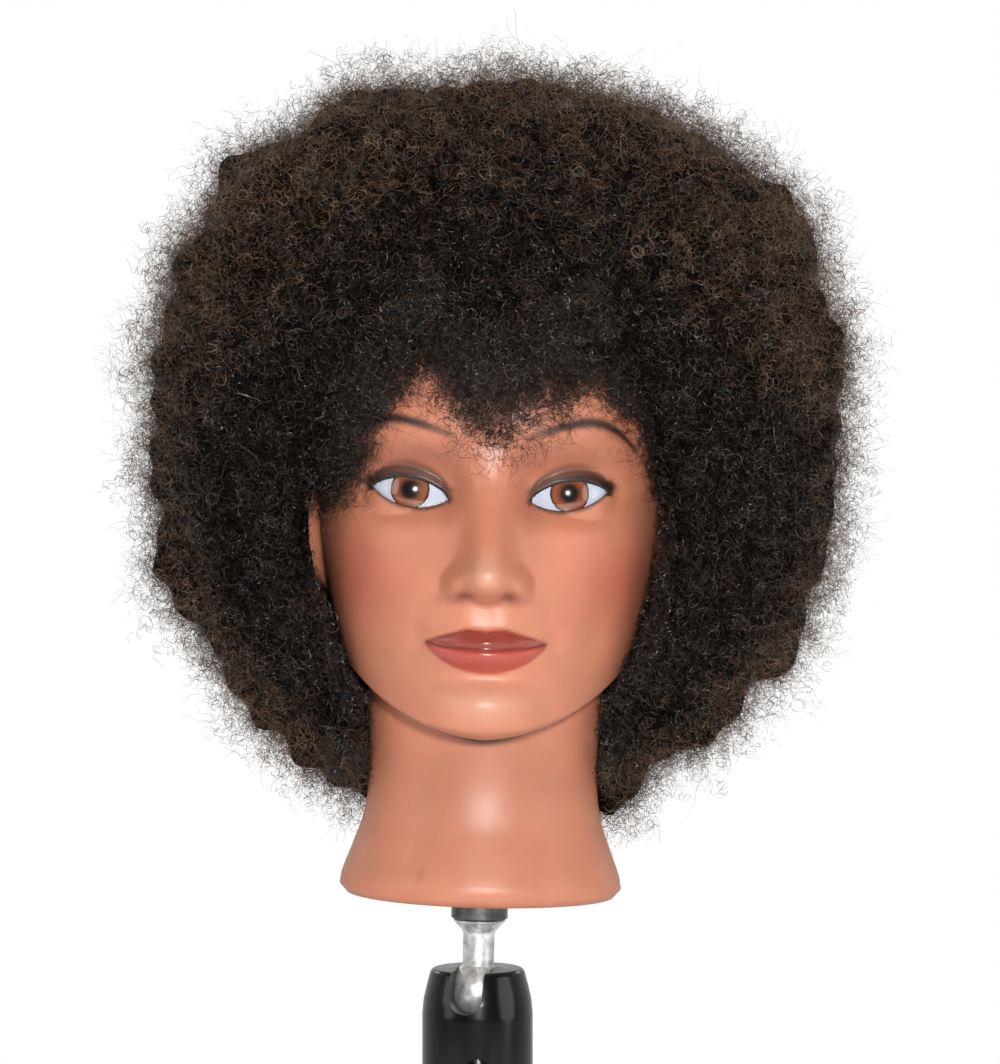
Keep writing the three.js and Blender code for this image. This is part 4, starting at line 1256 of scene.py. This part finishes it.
def make_ball_and_peg():
    """The ball, stem and cone in one turned piece, and the peg screwed onto it."""
    lean = Matrix.Translation((0, 0, BALL_HEIGHT)) @ Matrix.Rotation(LEAN, 4, "Y")
    worn = chrome_material("worn_chrome", 0.92, 0.20, 0.58, 0.78)
    # The peg's chrome is darkened: painted shade for the shadow under the neck's base.
    dark = chrome_material("chrome_painted_shade", 0.17, 0.05, 0.20)
    neck_angle = 180 - math.degrees(math.asin(STEM_RADIUS / BALL_RADIUS))
    ball = arc(BALL_RADIUS, 0, neck_angle, 44)
    spigot_top = PEG_START + SPIGOT_LENGTH
    stem = filleted([
        ball[-1], (STEM_RADIUS, STEM_BOTTOM), (STEM_RADIUS, STEM_TOP), (PEG_RADIUS - 0.5, PEG_START - 0.4),
        (SPIGOT_RADIUS, PEG_START - 0.3), (SPIGOT_RADIUS, spigot_top), (0, spigot_top),
    ], 1.2)
    stud = turned("ball_and_stem", ball[:-1] + [tuple(p) for p in stem], 96, lean)
    finish_piece(stud, "stud", "chrome", worn, "ball_stud")
    top = PEG_START + PEG_LENGTH
    bore = SPIGOT_RADIUS + SPIGOT_GAP
    outline = filleted([
        (0, spigot_top + 2), (bore, spigot_top + 2), (bore, PEG_START), (PEG_RADIUS, PEG_START),
        (PEG_RADIUS, top - 2), (PEG_RADIUS - 2, top), (0, top),
    ], 0.7)
    peg = turned("peg_tube", outline, 96, lean)
    finish_piece(peg, "stud", "chrome", dark, "peg")


def make_socket():
    """The slotted socket tube, bored for the ball, the shoe, the cam shaft and the bolt."""
    at_ball = Matrix.Translation((0, 0, BALL_HEIGHT))
    floor = (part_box("socket_housing")[0][2] - BALL_HEIGHT) / MM
    outside = filleted([(0, floor), (SOCKET_RADIUS, floor)] + SOCKET_SHOULDER, 1.0, 5)
    seat = arc(BALL_RADIUS + SEAT_GAP, 142, 90, 16)
    bore = [(SOCKET_BORE, -2), (SOCKET_BORE, floor + SOCKET_FLOOR), (BOLT_HOLE, floor + SOCKET_FLOOR)]
    bolt_hole = [(BOLT_HOLE, floor), (BOLT_HOLE - 0.01, floor)]
    socket = turned("socket_tube", outside + seat + bore + bolt_hole, 128, at_ball)
    if inside_out(socket):
        socket.data.flip_normals()
    slot = slot_cutter()
    slot.matrix_world = at_ball @ Matrix.Rotation(-SLOT_AZIMUTH, 4, "Z")
    bpy.context.view_layer.update()
    cut(socket, slot)
    shaft = turned("shaft_cutter", [(0, -40), (SHAFT_HOLE, -40), (SHAFT_HOLE, 40), (0, 40)], 64)
    at_shaft = Matrix.Translation((0, 0, BALL_HEIGHT - SHAFT_DROP * MM))
    shaft.matrix_world = at_shaft @ Matrix.Rotation(math.pi / 2, 4, "X")
    bpy.context.view_layer.update()
    cut(socket, shaft)
    soften_edges(socket, 0.7, 3, 40)
    socket.data.set_sharp_from_angle(angle=math.radians(38))
    finish_piece(socket, "socket", "black_enamel", enamel_material(), "socket_housing")


def slot_cutter():
    """A U-shaped bar that runs forwards from the axis."""
    half, top, long = STEM_RADIUS + 0.6, 20.0, 40.0
    angle = np.linspace(0, -np.pi, 33)
    outline = [(half, top)] + [(half * math.cos(a), half * math.sin(a)) for a in angle] + [(-half, top)]
    count = len(outline)
    corners = [(x * MM, y * MM, z * MM) for y in (0, -long) for x, z in outline]
    faces = [[k, (k + 1) % count, (k + 1) % count + count, k + count] for k in range(count)]
    faces += [list(range(count))[::-1], list(range(count, 2 * count))]
    mesh = bpy.data.meshes.new("slot_cutter")
    mesh.from_pydata(corners, [], faces)
    cutter = bpy.data.objects.new("slot_cutter", mesh)
    bpy.context.scene.collection.objects.link(cutter)
    if inside_out(cutter):
        mesh.flip_normals()
    return cutter


def dress_cad_nodes():
    """Materials and softened edges for the CAD pieces that show as they are."""
    grip = grained_material("grip", [0.008] * 3, [0.016] * 3, (0.4, 0.6), 120, 0, 0.3)
    plug = grained_material("plug_plastic", (0.45, 0.42, 0.36), (0.55, 0.51, 0.44), (0.45, 0.6), 60)
    looks = {
        "black_enamel": enamel_material(),
        "steel": grained_material("steel", (0.30, 0.30, 0.31), (0.46, 0.46, 0.47), (0.28, 0.45), 90, 1.0),
        "nylon": grained_material("nylon", (0.62, 0.60, 0.55), (0.72, 0.70, 0.65), (0.4, 0.55), 60),
        "plug_plastic": plug,
        "shoe_plastic": grip,
        "rubber": grained_material("rubber", [0.010] * 3, (0.022, 0.022, 0.021), (0.7, 0.9), 150, 0, 0.4),
        "grip": grip,
    }
    slot_of = {row["node"]: row["material_slot"] for row in frame["record"]["subparts"]}
    for name, node in frame["nodes"].items():
        if slot_of[name] not in looks:
            continue
        node.data.materials.clear()
        node.data.materials.append(looks[slot_of[name]])
        node.data.polygons.foreach_set("use_smooth", np.ones(len(node.data.polygons), bool))
        node.data.set_sharp_from_angle(angle=math.radians(32))
        soften_edges(node, 0.5, 2, 50)


# ------------------------------------------------------------------ stage
ROOM_AHEAD, ROOM_BEHIND = 0.10, 0.60  # brightness of the room before the head and of the backdrop
FLOOR_HALF = 1.3
FLOOR_FADE = (0.25, 0.85)  # distances over which the floor turns into the backdrop
# place, width and power of the lamps
LIGHTS = {
    "flash": ((0.10, -1.45, 0.41), 0.11, 19),
    "fill_left": ((-1.5, -0.8, 0.6), 1.2, 6),
    "fill_right": ((1.6, -0.7, 0.4), 1.2, 6),
    "top": ((0.0, 0.2, 1.7), 1.0, 3),
    "behind_left": ((-1.0, 1.2, 1.1), 0.8, 4),
    "behind_right": ((1.0, 1.2, 1.1), 0.8, 4),
}
CAMERA_DISTANCE = 1.3
CAMERA_ABOVE_BASE = 147.3 * MM
CAMERA_ACROSS = 9.2 * MM
SEEN_HEIGHT = 434.8 * MM  # of the picture, at the distance of the neck's axis


def make_room():
    """A world that is dark before the head, bright behind it and white to the camera."""
    scene = bpy.context.scene
    scene.view_settings.view_transform = "Standard"
    scene.world = bpy.data.worlds.new("studio")
    nodes = Nodes(scene.world)
    background = nodes.tree.nodes["Background"]
    background.inputs["Color"].default_value = (1, 1, 1, 1)
    direction = nodes.add("ShaderNodeTexCoord").outputs["Generated"]
    ahead = nodes.add("ShaderNodeSeparateXYZ", {0: direction}).outputs["Y"]
    room = nodes.map_range(ahead, ROOM_AHEAD, ROOM_BEHIND)
    room.inputs["From Min"].default_value = -0.5
    room.inputs["From Max"].default_value = 0.6
    strength = nodes.map_range(nodes.is_camera_ray(), room.outputs["Result"], 1.0)
    nodes.link(strength.outputs["Result"], background.inputs["Strength"])


def make_stage():
    """The room, a floor and the lamps."""
    make_room()
    low = cad_box[0][2]
    corners = np.array([(x, y, low) for x, y in ((-1, -1), (1, -1), (1, 1), (-1, 1))])
    corners[:, :2] *= FLOOR_HALF
    floor = new_object("floor", corners, np.array([[0, 1, 2, 3]]), smooth=False)
    floor.data.materials.append(floor_material())
    aim = Vector((0, 0, BALL_HEIGHT + (BASE_ABOVE_BALL + 150) * MM))
    for name, (place, size, power) in LIGHTS.items():
        light = bpy.data.lights.new(name, "AREA")
        light.energy = power
        light.shape = "DISK"
        light.size = size
        made = bpy.data.objects.new(name, light)
        made.location = place
        made.rotation_euler = (aim - Vector(place)).to_track_quat("-Z", "Y").to_euler()
        bpy.context.scene.collection.objects.link(made)


def floor_material():
    """A pale floor that fades into the white background away from the object."""
    surface = Surface("floor", Roughness=0.9).mottle((3,), [0.80] * 3, [0.84] * 3, end=0.7)
    away = surface.add("ShaderNodeVectorMath", {0: surface.position()}, operation="LENGTH")
    fade = surface.map_range(away.outputs["Value"], 0.0, 1.0, interpolation_type="SMOOTHSTEP")
    fade.inputs["From Min"].default_value, fade.inputs["From Max"].default_value = FLOOR_FADE
    inputs = {0: fade.outputs["Result"], 1: surface.is_camera_ray()}
    seen = surface.add("ShaderNodeMath", inputs, operation="MULTIPLY").outputs[0]
    glow = surface.add("ShaderNodeEmission").outputs[0]
    blend = surface.add("ShaderNodeMixShader", {0: seen, 1: surface.shader.outputs[0], 2: glow})
    output = next(n for n in surface.tree.nodes if n.type == "OUTPUT_MATERIAL")
    surface.link(blend.outputs[0], output.inputs["Surface"])
    return surface.owner


def make_camera():
    """A long lens straight ahead of the face, level with the middle of the picture."""
    camera = bpy.data.cameras.new("camera")
    camera.sensor_fit = "VERTICAL"
    camera.sensor_height = 24
    camera.lens = camera.sensor_height * CAMERA_DISTANCE / SEEN_HEIGHT
    camera.clip_end = 50
    made = bpy.data.objects.new("camera", camera)
    height = BALL_HEIGHT + BASE_ABOVE_BALL * MM + CAMERA_ABOVE_BASE
    made.location = (CAMERA_ACROSS, -CAMERA_DISTANCE, height)
    made.rotation_euler = (math.pi / 2, 0, 0)
    bpy.context.scene.collection.objects.link(made)
    bpy.context.scene.camera = made


# ------------------------------------------------------------------ the scene
UPPER_LID, LOWER_LID = 0, 1

make_camera()
make_stage()
make_head()
make_eye(1, "eye_left")
make_eye(-1, "eye_right")
for sign, owner in ((1, "left"), (-1, "right")):
    make_liner(sign, f"upper_lid_line_{owner}", UPPER_LID, 0.95, 0.25)
    make_liner(sign, f"lower_lid_line_{owner}", LOWER_LID, 0.45, -0.1)
make_ball_and_peg()
make_socket()
dress_cad_nodes()
make_hair()
